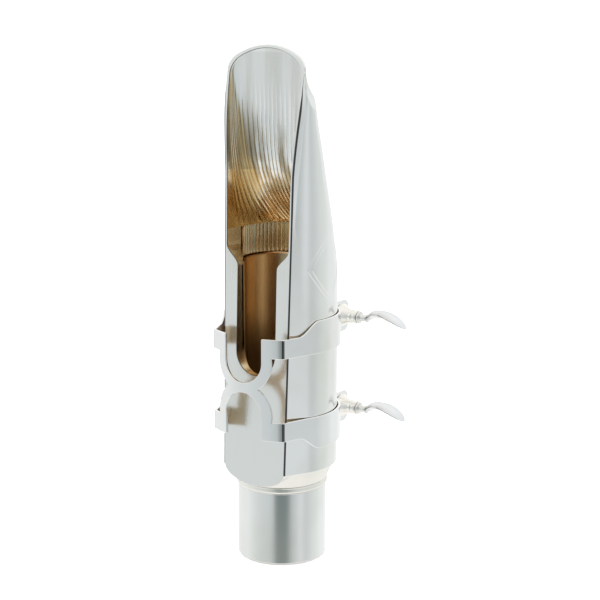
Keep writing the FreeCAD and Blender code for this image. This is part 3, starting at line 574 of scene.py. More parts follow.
def shank(materials):
    """The turned tube: silver outside, a bare turned bore, and the sleeve's window edge."""
    r_out, top, under = tube_high[0], tube_high[2], bead_low[2]
    outside = rounded([(NECK_R + 0.02, 0.0), (r_out, 0.0), (r_out, under), (SLEEVE_R, under)], 0.28, 6)
    mouth = rounded([(NECK_R + 0.3, 0.0), (NECK_R, 0.35), (NECK_R, 3.0)], 0.1)
    bore = rounded([(NECK_R, 0.0), (NECK_R, NECK_DEPTH), (BORE_R, NECK_DEPTH + 0.05),
                    (BORE_R, WINDOW_LOW - 0.3), (BORE_R, WINDOW_LOW)], 0.05, 3)
    found = [lathe(outside, 192)] + [lathe(line[::-1], 192, material=1) for line in (mouth, bore)]
    bend = 1 - np.cos(np.linspace(0, math.pi / 2, 28))
    straight = np.linspace(WINDOW_LOW + WINDOW_HALF + 0.4, top, 30)
    zs = np.concatenate([WINDOW_LOW + WINDOW_HALF * bend, straight])
    inner, outer = (np.array([around_back(z, radius) for z in zs]) for radius in (BORE_R, SLEEVE_R))
    found.append(patch(inner, flip=True, material=1))
    for side in (0, -1):
        strip = [inner[:, side] * (1 - t) + outer[:, side] * t for t in (0, 0.12, 0.5, 0.88, 1)]
        found.append(patch(strip, flip=(side == 0), material=1))
    rim = [around_back(top, radius) for radius in (BORE_R, (BORE_R + SLEEVE_R) / 2, SLEEVE_R)]
    found.append(patch(rim, material=1))
    return build("shank_sleeve", found, materials)


def fluted_ring(material):
    """The ring of upright hollow flutes, with rounded lips between them and scalloped ends."""
    low, high = ring_low[2], ring_high[2]
    angle = np.linspace(0, 2 * math.pi, FLUTES * 14, endpoint=False) - math.pi / 2
    wave = 0.42 * np.abs(np.sin((angle + math.pi / 2) * FLUTES / 2)) ** 0.75
    # each station's height, the share of the flutes' depth, and how far the ring is set back
    stations = [(low, 0.0, 0.65), (low + 0.02, 0.0, 0.35), (low + 0.15, 0.1, 0.12),
                (low + 0.35, 0.7, 0.0), (low + 0.8, 1.0, 0.0)]
    stations += [(z, 1.0, 0.0) for z in np.linspace(low + 1.2, high - 0.9, 9)]
    stations += [(high - 0.55, 0.95, 0.0), (high - 0.3, 0.8, 0.02), (high - 0.12, 0.55, 0.12),
                 (high - 0.03, 0.4, 0.3), (high, 0.35, 0.6)]
    grid = []
    for z, cut, back in stations:
        r = SLEEVE_R - 0.7 + cut * wave + back
        grid.append(level(r * np.cos(angle), r * np.sin(angle), z))
    points, quads, mark = patch(grid, wrap=True, flip=True)
    blocked = (points[:, 1] < 0) & (np.abs(points[:, 0]) < window_half(points[:, 2]) - 0.05)
    return build("flute_ring", [(points, quads[~blocked[quads].any(axis=1)], mark)], [material])


def lined_bead(material):
    """The turned bead, between fine grooves."""
    r, out, low, high = tube_high[0], bead_high[0], bead_low[2], bead_high[2]
    profile = [(SLEEVE_R, low), (r - 0.02, low), (out, low + 0.35), (out, high - 0.3), (r + 0.02, high),
               (SLEEVE_R, high)]
    return build("shank_bead", [lathe(rounded(profile, 0.3, 6), 192)], [material])


def black_plate(material):
    """The bite plate: let into the beak's roof, with a round lower end and softened edges."""
    low, high, half, corner, soft = 74.0, 97.0, 5.5, 0.8, 0.4
    side = np.sin(np.linspace(-math.pi / 2, math.pi / 2, 49))
    out = []
    for z in low + (high - low) * (1 - np.cos(np.linspace(0, 1, 60) * math.pi)) / 2:
        reach, left = z - low, high - z
        width = min(leg(half, max(0.0, half - reach)), half - corner + leg(corner, max(0.0, corner - left)))
        x = width * side
        roof, edge = roof_y(z), corners(z)[3]
        sag = roof - edge[1]
        radius = (edge[0] ** 2 + sag ** 2) / (2 * sag)
        inset = np.clip(np.minimum(width - np.abs(x), min(reach, left)), 0, soft) / soft
        lift = np.where(inset <= 0, -0.35, 0.14 * leg(1, 1 - inset) - 0.05)
        out.append(level(x, roof - radius + leg(radius, x) + lift, z))
    return build("bite_pad", [patch(out, flip=True)], [material])


def emblem(material):
    """A plain double lozenge in fine raised line on the side of the body."""
    centre_y, centre_z, half_y, half_z, wire = 0.3, 61.6, 5.6, 6.7, 0.13
    angle = np.linspace(0, 2 * math.pi, 241)[:-1]
    c, s = np.cos(angle), np.sin(angle)
    size = squareness(c, s, 1.18)
    found = []
    for scale in (1.0, 0.84):
        line, out = [], []
        for y, z in zip(centre_y + half_y * scale * c * size, centre_z + half_z * scale * s * size):
            section = half_section(z)[FILLET + FACET:]
            k = int(np.searchsorted(section[:, 1], y))
            step = section[k] - section[k - 1]
            line.append((section[k - 1, 0] + step[0] * (y - section[k - 1, 1]) / step[1], y, z))
            out.append((step[1], -step[0], 0.0))
        line, out = np.array(line), unit(np.array(out))
        across = np.cross(out, unit(np.roll(line, -1, axis=0) - np.roll(line, 1, axis=0)))
        grid = []
        for turn in np.linspace(-0.15 * math.pi, 1.15 * math.pi, 9):
            rise = wire * 0.8 * math.sin(turn) - 0.02
            grid.append(line + across * wire * math.cos(turn) + out * rise)
        found.append(patch(grid, wrap=True))
    return build("side_lozenge", found, [material])


# ---------------------------------------------------------------- ligature

BAND_T = 0.5
BAND_R = band_high[0]
PLATE_R = 18.4
CORNER_BEND, EAR_BEND = 0.9, 0.7
EAR_X = 5.3
MIDDLE = (band_low[2] + band_high[2]) / 2


def band_path():
    """Segments of the band's outer face from the plate's middle round to the right ear's end."""
    corner = np.array([8.6, -11.6])
    centre = np.array([0.0, corner[1] + leg(PLATE_R, corner[0])])
    angle = math.atan2(corner[1], corner[0]) + math.acos(BAND_R / math.hypot(*corner))
    normal = np.array([math.cos(angle), math.sin(angle)])
    along = np.array([normal[1], -normal[0]])
    base = normal * (BAND_R - CORNER_BEND) - centre
    half = base @ along
    travel = -half + math.sqrt(half ** 2 - (base @ base - (PLATE_R - CORNER_BEND) ** 2))
    bend = base + travel * along + centre
    start_angle = math.atan2(*(bend - centre)[::-1])
    ear_x = EAR_X + EAR_BEND
    ear = np.array([ear_x, leg(BAND_R + EAR_BEND, ear_x)])
    end_angle = math.atan2(ear[1], ear[0])
    return [
        ("arc", centre, PLATE_R, -math.pi / 2, start_angle, 1),
        ("arc", bend, CORNER_BEND, start_angle, angle, 1),
        ("line", bend + CORNER_BEND * normal, BAND_R * normal, normal),
        ("arc", np.zeros(2), BAND_R, angle, end_angle, 1),
        ("arc", ear, EAR_BEND, end_angle + math.pi, math.pi, -1),
        ("line", np.array([EAR_X, ear[1]]), np.array([EAR_X, band_high[1]]), np.array([1.0, 0.0])),
    ]


PATH = band_path()


def length_of(segment):
    if segment[0] == "line":
        return float(np.linalg.norm(segment[2] - segment[1]))
    return abs(segment[4] - segment[3]) * segment[2]


LENGTHS = [length_of(segment) for segment in PATH]
STARTS = np.concatenate([[0], np.cumsum(LENGTHS)])
EAR_END = float(STARTS[-1])


def on_path(s):
    """Place and outward normal on the band's outer face at a signed distance from the middle."""
    side = 1.0 if s >= 0 else -1.0
    s = min(abs(s), EAR_END)
    k = min(int(np.searchsorted(STARTS, s, side="right")) - 1, len(PATH) - 1)
    segment = PATH[k]
    t = s - STARTS[k]
    if segment[0] == "line":
        _, first, last, normal = segment
        place = first + unit(last - first) * t
    else:
        _, centre, radius, a0, a1, sign = segment
        angle = a0 + (1 if a1 > a0 else -1) * t / radius
        ray = np.array([math.cos(angle), math.sin(angle)])
        place = centre + radius * ray
        normal = ray * sign
    return np.array([place[0] * side, place[1]]), np.array([normal[0] * side, normal[1]])


def along_from_y(y, start):
    """Distance along the path, past start, at which it reaches y."""
    best = np.linspace(start, EAR_END, 4000)
    ys = np.array([on_path(s)[0][1] for s in best])
    return float(best[np.argmin(np.abs(ys - y))])


def along_from_x(x):
    return PLATE_R * math.asin(x / PLATE_R)


SIDE_START = float(STARTS[2])


def turn_points(centre, radius, first, last, count):
    angle = np.linspace(first, last, count)
    return [(centre[0] + radius * math.cos(a), centre[1] + radius * math.sin(a)) for a in angle]


def band_upper_half():
    """Right upper quarter of the flat pattern: distance along the band, height above its middle."""
    notch, centre, arm = 4.35, 5.35, 2.15
    front, back, inner, corner = 10.4, 13.2, 6.5, 1.6
    out = [(along_from_x(x), z) for x, z in turn_points((0, centre), notch, -math.pi / 2, 0, 22)]
    s = along_from_x(notch)
    out += [(s, front - 0.25), (s + 0.08, front - 0.06), (s + 0.3, front)]
    start, end = along_from_y(-8.0, SIDE_START), along_from_y(-3.2, SIDE_START)
    for t in np.linspace(0, 1, 25):
        out.append((start + (end - start) * t, front + (back - front) * smooth(t, 0, 1)))
    out += turn_points((EAR_END - corner, back - corner), corner, math.pi / 2, 0, 12)
    out += turn_points((EAR_END - corner, inner + corner), corner, 0, -math.pi / 2, 12)
    radius = notch + arm
    first = math.atan2(inner - centre, leg(radius, inner - centre))
    last = math.atan2(-centre, leg(radius, centre))
    return out + [(along_from_x(x), z) for x, z in turn_points((0, centre), radius, first, last, 20)]


def flat_mesh(name, outlines, thickness, bevel):
    """A flat plate with rounded edges, cut from outlines, lying in the plane."""
    curve = bpy.data.curves.new(name, "CURVE")
    curve.dimensions = "2D"
    curve.fill_mode = "BOTH"
    curve.extrude = thickness / 2 - bevel
    curve.bevel_depth = bevel
    curve.bevel_resolution = 2
    curve.offset = -bevel
    for points in outlines:
        spline = curve.splines.new("POLY")
        spline.points.add(len(points) - 1)
        for point, place in zip(spline.points, points):
            point.co = (place[0], place[1], 0, 1)
        spline.use_cyclic_u = True
    holder = in_scene(name + "_flat", curve)
    bpy.context.view_layer.update()
    mesh = bpy.data.meshes.new_from_object(holder.evaluated_get(bpy.context.evaluated_depsgraph_get()))
    bpy.data.objects.remove(holder)
    bpy.data.curves.remove(curve)
    return mesh


def unique_points(points):
    out = []
    for point in points:
        if not out or math.hypot(point[0] - out[-1][0], point[1] - out[-1][1]) > 0.01:
            out.append(point)
    if math.hypot(out[0][0] - out[-1][0], out[0][1] - out[-1][1]) < 0.01:
        out.pop()
    return out


def band_strip(materials):
    """The sheet band: its flat pattern, cut across so that it bends, wrapped along the path."""
    rod_hole, edge_round, flat_weight = 1.56, 0.13, 60
    upper = band_upper_half()
    right = upper + [(s, -z) for s, z in upper[::-1]]
    outlines = [unique_points(right + [(-s, z) for s, z in right[::-1]])]
    for node in ("screw_rod_upper", "screw_rod_lower"):
        y, z = screw_axis(node)[:2]
        centre = (along_from_y(y, float(STARTS[5])), z - MIDDLE)
        ring = turn_points(centre, rod_hole, 0, 2 * math.pi, 33)[:-1]
        outlines += [ring, [(-a, b) for a, b in ring]]
    mesh = flat_mesh("band_strip", outlines, BAND_T, edge_round)
    work = bmesh.new()
    work.from_mesh(mesh)
    bmesh.ops.remove_doubles(work, verts=work.verts, dist=0.0005)
    cuts = [*np.arange(0.4, STARTS[1], 0.45), *np.linspace(STARTS[1], STARTS[2], 12)]
    for k, steps in ((2, 6), (3, 60), (4, 12)):
        cuts += list(np.linspace(STARTS[k], STARTS[k + 1], steps)[1:])
    for cut in cuts:
        for place in ((cut, 0, 0), (-cut, 0, 0)):
            whole = work.verts[:] + work.edges[:] + work.faces[:]
            bmesh.ops.bisect_plane(work, geom=whole, dist=1e-6, plane_co=place, plane_no=(1, 0, 0))
    bmesh.ops.triangulate(work, faces=work.faces[:])
    bmesh.ops.recalc_face_normals(work, faces=work.faces[:])
    work.to_mesh(mesh)
    work.free()
    flat = np.array([v.co[:] for v in mesh.vertices])
    triangles = np.array([p.vertices[:] for p in mesh.polygons])
    face = face_vectors(flat, triangles)
    level_faces = np.abs(face[:, 2]) > 0.999 * np.linalg.norm(face, axis=1)
    face[level_faces] *= flat_weight
    normals = gathered(len(flat), triangles, face)
    placed, turned = np.empty_like(flat), np.empty_like(flat)
    for i, (s, z, depth) in enumerate(flat):
        at, normal = on_path(s)
        placed[i] = (*(at + normal * (depth - BAND_T / 2)), z + MIDDLE)
        tangent = np.array([-normal[1], normal[0]])
        turned[i] = (*(normal * normals[i, 2] + tangent * normals[i, 0]), normals[i, 1])
    # the band's inner faces take its second material: warm bronze that paints in a gold reflection
    inside = level_faces & (face[:, 2] < 0)
    middle = np.abs(flat[triangles].mean(axis=1)[:, 0])
    margin = 0.12 * LENGTHS[1]
    # outer faces on the plate's corner bend take the near-black edge silver: a painted dark reflection line
    # down the band's corners
    dark_painted_bend = level_faces & ~inside & (middle > STARTS[1] + margin) & (middle < STARTS[2] - margin)
    mesh.vertices.foreach_set("co", (placed * MM).ravel())
    mesh.polygons.foreach_set("material_index", np.where(dark_painted_bend, 2, inside).astype(np.int32))
    mesh.update()
    return finished("band_strip", mesh, materials, turned)


def screw_axis(node):
    """A screw piece's centre line, its two ends along X and its radius."""
    low, high = span(node)
    return (low[1] + high[1]) / 2, (low[2] + high[2]) / 2, low[0], high[0], (high[1] - low[1]) / 2


def bell(name, node, material):
    """A hollow bell on the screw: wide at the ear, drawn in to a small beaded end."""
    y, z, x0, x1, radius = screw_axis(node)
    hole, throat, length = 1.5, 1.42, x1 - x0
    share = np.linspace(0, 1, 14)
    flare = radius - 0.12 - (radius - throat) * np.sin(share * math.pi / 2) ** 0.9
    shape = [(hole, 0.0), (radius, 0.0), (radius, 0.42)]
    shape += [(r, 0.5 + t * (length - 1.0)) for r, t in zip(flare, share)]
    shape += [(hole, length - 0.35), (throat, length), (1.0, length), (1.0, length - 1.0),
              (hole, length - 1.2), (hole, 0.0)]
    return build(name, [lathe(rounded(shape, 0.16), 72, (x0, y, z), "X")], [material])


def post(name, node, material):
    """A threaded post: a round nut that steps in towards its ear."""
    y, z, x0, x1, radius = screw_axis(node)
    hole, length = 1.46, x1 - x0
    shape = [(hole, length), (radius, length), (radius, length - 1.0), (radius - 0.36, length - 1.6),
             (radius - 0.5, 0.3), (radius - 0.75, 0.0), (hole, 0.0), (hole, length * 0.5), (hole, length)]
    return build(name, [lathe(rounded(shape, 0.22), 72, (x0, y, z), "X", flip=True)], [material])


def threaded_rod(name, node, material):
    """The screw: a cut thread, a plain stop and the thin neck of its head."""
    y, z, x0, x1, stop = screw_axis(node)
    radius, neck, waist, pitch, thread_depth = 1.42, 0.75, 0.95, 0.635, 0.19
    neck_start = x1 - 1.7
    stop_start, thread_end = neck_start - 0.5, 4.4
    angle = np.linspace(0, 2 * math.pi, 48, endpoint=False)
    xs = np.arange(x0 + 0.35, thread_end, pitch / 10)
    grid = []
    for x in xs:
        phase = ((x - x0) / pitch - angle / (2 * math.pi)) % 1
        cut = thread_depth * (1 - np.abs(2 * phase - 1))
        r = radius - cut * (1 - smooth(x, thread_end - 0.6, thread_end - 0.1))
        grid.append(np.column_stack([np.full(48, x), y + r * np.cos(angle), z + r * np.sin(angle)]))
    nose = rounded([(0.0, x0), (radius - 0.45, x0), (radius - thread_depth, x0 + 0.35)], 0.15, 3)
    collar = stop - 0.5
    plain = rounded([(radius, xs[-1]), (radius, stop_start - 1.3), (waist, stop_start - 1.2),
                     (waist, stop_start), (collar, stop_start), (collar, neck_start - 0.05),
                     (neck, neck_start + 0.1), (neck, x1 - 0.4), (neck + 0.2, x1), (0.0, x1)], 0.12)
    found = [patch(grid, wrap=True)] + [lathe(line, 48, (0, y, z), "X") for line in (nose, plain)]
    return build(name, found, [material])


# the thumb paddle's turn about the screw, in degrees, and its middle height, half width and half
# thickness at shares of its length
LEAF_TURN = -13.0
LEAF_HEIGHT = [(0, 0.1), (0.06, 0.5), (0.14, 0.95), (0.25, 1.25), (0.45, 1.35), (0.6, 1.0), (0.8, 0.15),
               (1, -1.0)]
LEAF_WIDTH = [(0, 0.7), (0.05, 0.95), (0.12, 1.5), (0.25, 2.6), (0.45, 3.4), (0.65, 3.3), (0.8, 2.75),
              (0.92, 1.75), (0.98, 0.9), (1, 0.05)]
LEAF_THICK = [(0, 0.75), (0.1, 0.85), (0.3, 0.85), (0.6, 0.66), (0.9, 0.34), (1, 0.06)]


def leaf(name, node, material):
    """The thumb paddle: a cupped leaf on a short root, thick in the middle, drooping at its end."""
    low, high = span(node)
    y0, z0 = screw_axis(node.replace("thumb_paddle", "screw_rod"))[:2]
    shares = (1 - np.cos(np.linspace(0, math.pi, 60))) / 2
    tables = (LEAF_HEIGHT, LEAF_WIDTH, LEAF_THICK)
    heights, widths, thicks = (np.interp(shares, *np.transpose(table)) for table in tables)
    for _ in range(3):
        heights[1:-1] = np.convolve(heights, [0.25, 0.5, 0.25], "valid")
    turn = np.linspace(0, 2 * math.pi, 48, endpoint=False)
    c, s = np.cos(turn), np.sin(turn)
    cos_t, sin_t = math.cos(math.radians(LEAF_TURN)), math.sin(math.radians(LEAF_TURN))
    grid = []
    for share, height, width, thick in zip(shares, heights, widths, thicks):
        across = width * c
        lift = height + thick * np.sign(s) * np.abs(s) ** 0.8 - 0.2 * (across / 3.4) ** 2
        x = np.full(len(c), low[0] + share * (high[0] - low[0]))
        y, z = y0 + across * cos_t - lift * sin_t, z0 + across * sin_t + lift * cos_t
        grid.append(np.column_stack([x, y, z]))
    first, last = (np.full_like(row, row.mean(0)) for row in (grid[0], grid[-1]))
    return build(name, [patch([first, *grid, last], wrap=True)], [material])


# ---------------------------------------------------------------- stage, light and camera

def camera():
    """A long lens a little above the tip, round to the right of the table, tilted down."""
    azimuth, turn, tilt = math.radians(35.25), math.radians(-0.696), math.radians(12.641)
    distance, height = 308.4 * MM, 122.63 * MM
    data = bpy.data.cameras.new("camera")
    data.sensor_width = 36.0
    data.lens = 93.41
    data.clip_start = 0.01
    eye = in_scene("camera", data)
    eye.location = (distance * math.sin(azimuth), -distance * math.cos(azimuth), height)
    eye.rotation_euler = (math.pi / 2 - tilt, 0.0, azimuth + turn)
    bpy.context.scene.camera = eye


def floor():
    """A large white floor that the metal doesn't mirror."""
    half = 3.0
    mesh = bpy.data.meshes.new("floor")
    mesh.from_pydata([(x, y, 0) for x, y in ((-half, -half), (half, -half), (half, half), (-half, half))],
                     [], [(0, 1, 2, 3)])
    plane = in_scene("floor", mesh)
    plane.location.z = -0.0002
    plane.visible_glossy = False
    material = bpy.data.materials.new("floor_white")
    material.use_nodes = True
    shader = material.node_tree.nodes["Principled BSDF"]
    shader.inputs["Base Color"].default_value = (0.95, 0.95, 0.95, 1)
    shader.inputs["Roughness"].default_value = 0.9
    mesh.materials.append(material)


# the tent's colour by direction round the object, in degrees, and its strength by angle above the level
AROUND = [
    (-180, 0.82, 0.83, 0.82), (-154, 0.80, 0.825, 0.82), (-125, 0.66, 0.695, 0.69), (-105, 0.60, 0.635, 0.64),
    (-88, 0.57, 0.61, 0.61), (-78, 0.50, 0.54, 0.54), (-73, 0.24, 0.275, 0.27), (-64, 0.17, 0.205, 0.20),
    (-46, 0.17, 0.205, 0.20), (-37, 0.26, 0.295, 0.29), (-32, 0.46, 0.49, 0.49), (-18, 0.57, 0.60, 0.605),
    (-9, 0.68, 0.71, 0.72), (-3, 0.69, 0.72, 0.73), (3, 0.62, 0.645, 0.655), (9, 0.57, 0.60, 0.61),
    (17, 0.60, 0.635, 0.64), (30, 0.68, 0.715, 0.70), (46, 0.73, 0.765, 0.75), (60, 0.82, 0.85, 0.84),
    (80, 0.84, 0.86, 0.86), (100, 0.94, 0.95, 0.945), (140, 0.90, 0.91, 0.90), (180, 0.82, 0.83, 0.82),
]
UPWARD = [(-90, 1.75), (-50, 1.55), (-30, 1.12), (-14, 1.0), (4, 1.0), (20, 1.12), (45, 1.25), (90, 1.4)]


def add_node(tree, kind, inputs=(), **settings):
    """A new shader node. An input that is a socket is linked, and any other is set."""
    node = tree.nodes.new("ShaderNode" + kind)
    for key, value in settings.items():
        setattr(node, key, value)
    for key, value in dict(inputs).items():
        if isinstance(value, bpy.types.NodeSocket):
            tree.links.new(value, node.inputs[key])
        else:
            node.inputs[key].default_value = value
    return node


def ramp_of(tree, source, low, high, stops):
    """A colour ramp over a range of angles, in degrees."""
    angles = {"Value": source, "From Min": math.radians(low), "From Max": math.radians(high)}
    ramp = add_node(tree, "ValToRGB", {0: add_node(tree, "MapRange", angles).outputs[0]})
    elements = ramp.color_ramp.elements
    while len(elements) < len(stops):
        elements.new(0.5)
    for element, (angle, *colour) in zip(elements, stops):
        element.position = (angle - low) / (high - low)
        element.color = (*(colour if len(colour) == 3 else colour * 3), 1)
    return ramp.outputs["Color"]


def world():
    """A white tent: soft panels all round, brighter above and below, with a dark gap on one side."""
    tent = bpy.data.worlds.new("tent")
    bpy.context.scene.world = tent
    tent.use_nodes = True
    tree = tent.node_tree
    tree.nodes.clear()

    def add(kind, inputs=(), output=0, **settings):
        return add_node(tree, kind, inputs, **settings).outputs[output]

    toward = add_node(tree, "SeparateXYZ", {0: add("TexCoord", output="Generated")}).outputs
    azimuth = add("Math", {0: toward["Y"], 1: toward["X"]}, operation="ARCTAN2")
    rising = add("Math", {0: toward["Z"]}, operation="ARCSINE")
    steep = add("Math", {0: toward["Z"]}, operation="ABSOLUTE")
    panels = {"Factor": 1.0, "A": ramp_of(tree, azimuth, -180, 180, AROUND),
              "B": ramp_of(tree, rising, -90, 90, UPWARD)}
    shaded = add("Mix", panels, "Result", data_type="RGBA", blend_type="MULTIPLY")
    above = {"Value": steep, "From Min": 0.35, "From Max": 0.8}
    ends = {"Factor": add("MapRange", above, interpolation_type="SMOOTHSTEP"), "A": shaded,
            "B": (0.95, 0.945, 0.92, 1)}
    mirrored = add("Background", {"Color": add("Mix", ends, "Result", data_type="RGBA")})
    white = add("Background", {"Color": (1, 1, 1, 1), "Strength": 1.6})
    rays = add_node(tree, "LightPath").outputs
    direct = add("Math", {0: rays["Is Camera Ray"], 1: rays["Is Diffuse Ray"]}, operation="MAXIMUM")
    add_node(tree, "OutputWorld", {"Surface": add("MixShader", {0: direct, 1: mirrored, 2: white})})


def lights():
    """Two soft lamps that the metal doesn't mirror."""
    aim = Vector((0, 0, 0.05))
    for name, place, power in (("key", (-0.35, -0.25, 0.5), 1.5), ("back", (0.3, 0.4, 0.45), 1.2)):
        data = bpy.data.lights.new(name, "AREA")
        data.size = 0.3
        data.energy = power
        lamp = in_scene(name, data)
        lamp.location = place
        lamp.visible_glossy = False
        lamp.rotation_euler = (aim - Vector(place)).to_track_quat("-Z", "Y").to_euler()


# ---------------------------------------------------------------- materials

class Nodes:
    """A material's node tree, with short ways to add and join nodes."""

    def __init__(self, name):
        self.material = bpy.data.materials.new(name)
        self.material.use_nodes = True
        self.tree = self.material.node_tree
        self.coord = self.add("TexCoord", output="Object")

    def add(self, kind, inputs=(), output=0, **settings):
        return add_node(self.tree, kind, inputs, **settings).outputs[output]

    def noise(self, scale, detail=3.0, stretch=(1, 1, 1)):
        place = self.add("Mapping", {"Scale": stretch, "Vector": self.coord})
        return self.add("TexNoise", {"Scale": scale, "Detail": detail, "Vector": place}, "Fac")

    def spread(self, source, low, high, to_low=0.0, to_high=1.0):
        """The source's stretch from low to high, softly taken to another."""
        ends = {"Value": source, "From Min": low, "From Max": high, "To Min": to_low, "To Max": to_high}
        return self.add("MapRange", ends, interpolation_type="SMOOTHSTEP")

    def sum(self, operation, first, second):
        return self.add("Math", {0: first, 1: second}, operation=operation)

    def mix(self, factor, *colours):
        first, second = ((*c, 1) if isinstance(c, tuple) else c for c in colours)
        return self.add("Mix", {"Factor": factor, "A": first, "B": second}, "Result", data_type="RGBA")

    def axis(self, name):
        return self.add("SeparateXYZ", {0: self.coord}, name)

    def made(self, colour, rough, metal, height, strength, distance):
        """The material, once its shader has its colour, roughness, metal and bump."""
        shader = self.tree.nodes["Principled BSDF"]
        bump = self.add("Bump", {"Strength": strength, "Distance": distance, "Height": height})
        for source, key in ((colour, "Base Color"), (rough, "Roughness"), (bump, "Normal")):
            self.tree.links.new(source, shader.inputs[key])
        shader.inputs["Metallic"].default_value = metal
        return self.material


def silver(name, low, high, tint=(0.93, 0.935, 0.925), tarnish=(0.84, 0.83, 0.78), brushed=0.08):
    """Polished plate: a faint uneven tarnish, hairline wear and a slightly wavy surface."""
    look = Nodes(name)
    clouds, spots, hairs = look.noise(55, 5.0), look.noise(420, 2.0), look.noise(900, 2.0, (1, 1, brushed))
    colour = look.mix(look.spread(clouds, 0.42, 0.75, 0.0, 0.8), tint, tarnish)
    wear = look.spread(hairs, 0.55, 0.75, 0.0, 0.05)
    rough = look.sum("ADD", look.spread(clouds, 0.3, 0.7, low, high), wear)
    height = look.sum("ADD", look.noise(38, 1.0), look.sum("MULTIPLY", hairs, 0.02))
    height = look.sum("ADD", height, look.sum("MULTIPLY", spots, 0.01))
    return look.made(colour, rough, 1.0, height, 0.35, 0.00012)


def lining(name):
    """The chamber: gold low down and gold painted on the walls as the bore's reflection, giving way to silver
    with wear towards the tip.
    """
    look = Nodes(name)
    z = look.axis("Z")
    streaks, mottle = look.noise(300, 4.0, (1, 1, 0.10)), look.noise(140, 3.0, (1, 1, 0.4))
    warm = look.spread(look.sum("ADD", z, look.sum("MULTIPLY", streaks, -0.012)), 0.064, 0.076, 1.0, 0.0)
    # gold on the side walls beyond a shore that narrows up the chamber: the bore's reflection, painted in
    low_shore = look.spread(z, 0.070, 0.086, 0.0025, 0.0062)
    high_shore = look.spread(z, 0.086, 0.101, 0.0, 0.0022)
    aside = look.sum("ADD", look.sum("ABSOLUTE", look.axis("X"), 0.0), look.sum("MULTIPLY", streaks, 0.0008))
    beyond = look.sum("SUBTRACT", aside, look.sum("ADD", low_shore, high_shore))
    painted_wall_reflection = look.sum("MULTIPLY", look.spread(beyond, 0.0, 0.0009), look.spread(mottle, 0.3, 0.6, 0.45, 1.0))
    golds = look.mix(streaks, (0.97, 0.78, 0.46), (0.58, 0.40, 0.18))
    stain = look.sum("MULTIPLY", look.spread(streaks, 0.42, 0.60), look.spread(z, 0.084, 0.095, 1.0, 0.2))
    silvers = look.mix(stain, (0.92, 0.925, 0.92), (0.40, 0.35, 0.26))
    height = look.sum("ADD", look.noise(900, 3.0, (1, 1, 0.1)), look.noise(160, 2.0))
    colour = look.mix(look.sum("MAXIMUM", warm, painted_wall_reflection), silvers, golds)
    return look.made(colour, look.spread(streaks, 0.3, 0.7, 0.12, 0.3), 1.0, height, 0.3, 0.00004)


def bronze(name, light, dark, rough, metal=1.0, rings=False):
    """Bare metal, mottled, or with fine rings left by the tool that turned it and upright colour bands that
    are painted highlights.
    """
    look = Nodes(name)
    lines = look.noise(1500, 3.0, (0.02, 0.02, 1.0)) if rings else look.noise(700, 3.0)
    # with rings, the colour runs in long upright bands: painted highlight bands for the bore's reflections
    clouds = look.noise(260, 3.0, (1, 1, 0.02)) if rings else look.noise(90, 4.0)
    colour = look.mix(look.spread(clouds, 0.3, 0.75), light, dark)
    rough = look.sum("ADD", look.spread(lines, 0.3, 0.7, 0.0, 0.03), rough)
    return look.made(colour, rough, metal, lines, 0.2, 0.000002 if rings else 0.00003)


def ebonite(name):
    """Black bite plate: satin, with faint scuffs."""
    look = Nodes(name)
    scuffs = look.noise(600, 4.0, (1, 0.3, 0.2))
    colour = look.mix(look.spread(scuffs, 0.5, 0.8), (0.012, 0.012, 0.013), (0.05, 0.05, 0.052))
    rough = look.spread(scuffs, 0.3, 0.7, 0.28, 0.45)
    return look.made(colour, rough, 0.0, look.noise(1500, 2.0), 0.15, 0.00003)


bpy.context.scene.view_settings.view_transform = "Standard"
camera()
floor()
world()
lights()

plate = silver("plate_silver", 0.09, 0.17)
tube = silver("shank_silver", 0.16, 0.26, brushed=0.05)
band = silver("band_polish", 0.05, 0.12, (0.95, 0.95, 0.955))
# a lighter cream copy of the silver for the ferrules and posts: painted warm reflection
painted_sheen_silver = silver("ferrule_painted_sheen", 0.10, 0.2, (0.96, 0.945, 0.90), (0.86, 0.82, 0.72))
thread = silver("thread_silver", 0.14, 0.24, (0.88, 0.87, 0.85))
# the paddles' silver is darker than the same plating elsewhere: painted shade
paddle = silver("leaf_silver_painted_shade", 0.07, 0.15, (0.80, 0.81, 0.83), (0.70, 0.69, 0.66))
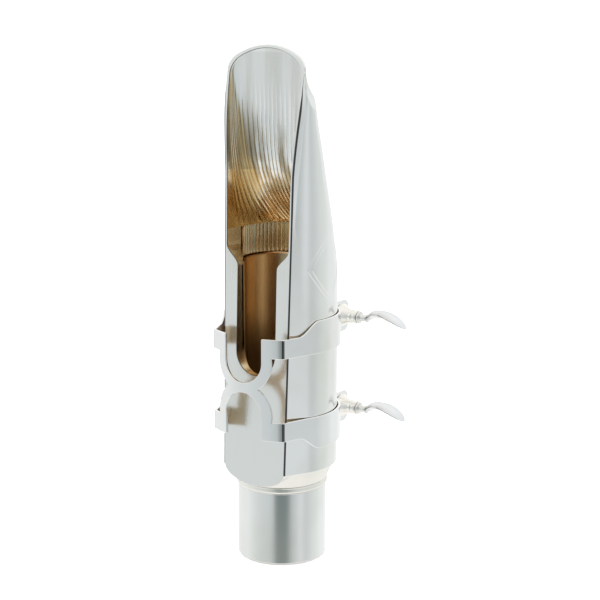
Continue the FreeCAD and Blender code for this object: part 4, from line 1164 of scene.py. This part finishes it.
# a lighter cream copy of the silver for the bead and the shoulder's cone: painted reflection of the bright
# floor
bead = silver("bead_and_cone_painted_sheen", 0.32, 0.42, (0.97, 0.955, 0.91))
# near-black silver laid on edges: painted dark reflection lines, not wear
painted_dark_edge = silver("painted_dark_edge_silver", 0.2, 0.3, (0.14, 0.135, 0.14), (0.10, 0.075, 0.055))
lapped = silver("table_lapped", 0.2, 0.3, brushed=0.06)
# warm bronze on the band's inner face: a painted gold reflection
band_inside_painted_gold = bronze("band_inside_painted_gold", (0.92, 0.81, 0.62), (0.66, 0.46, 0.28), 0.3, 0.65)
gold = bronze("flute_gold", (0.97, 0.82, 0.56), (0.74, 0.54, 0.30), 0.18)
bore = bronze("bore_turned_painted_bands", (0.96, 0.76, 0.50), (0.70, 0.50, 0.30), 0.24, rings=True)

shell = build("body_shell", body_patches(), [plate, bead, painted_dark_edge, lapped])
fit(shell, "mouthpiece", "silver_plate", "mouthpiece_body")
walls = build("window_edge", [window_walls()], [plate])
fit(walls, "mouthpiece", "silver_plate", "mouthpiece_body")
inside = build("chamber_lining", [chamber_lining()], [lining("chamber_gold")])
fit(inside, "mouthpiece", "gold_flutes", "mouthpiece_body")
fit(shank([tube, bore]), "mouthpiece", "bore_bronze", "shank_tube")
fit(fluted_ring(gold), "mouthpiece", "gold_flutes", "chamber_ring")
fit(emblem(plate), "mouthpiece", "silver_plate")
fit(lined_bead(bead), "mouthpiece", "silver_bead", "shank_ring")
fit(black_plate(ebonite("ebonite")), "mouthpiece", "black_plate", "bite_plate")
fit(band_strip([band, band_inside_painted_gold, painted_dark_edge]), "ligature", "band_silver", "ligature_band")
for end in ("upper", "lower"):
    for make, name, node, material, body, slot in (
        (bell, "bell", "ferrule", painted_sheen_silver, end + "_ferrule", "turned_silver"),
        (post, "post", "threaded_post", painted_sheen_silver, "ligature", "turned_silver"),
        (threaded_rod, "rod", "screw_rod", thread, end + "_screw", "screw_silver"),
        (leaf, "leaf", "thumb_paddle", paddle, end + "_screw", "paddle_silver"),
    ):
        fit(make(f"{name}_{end}", f"{node}_{end}", material), body, slot, f"{node}_{end}")
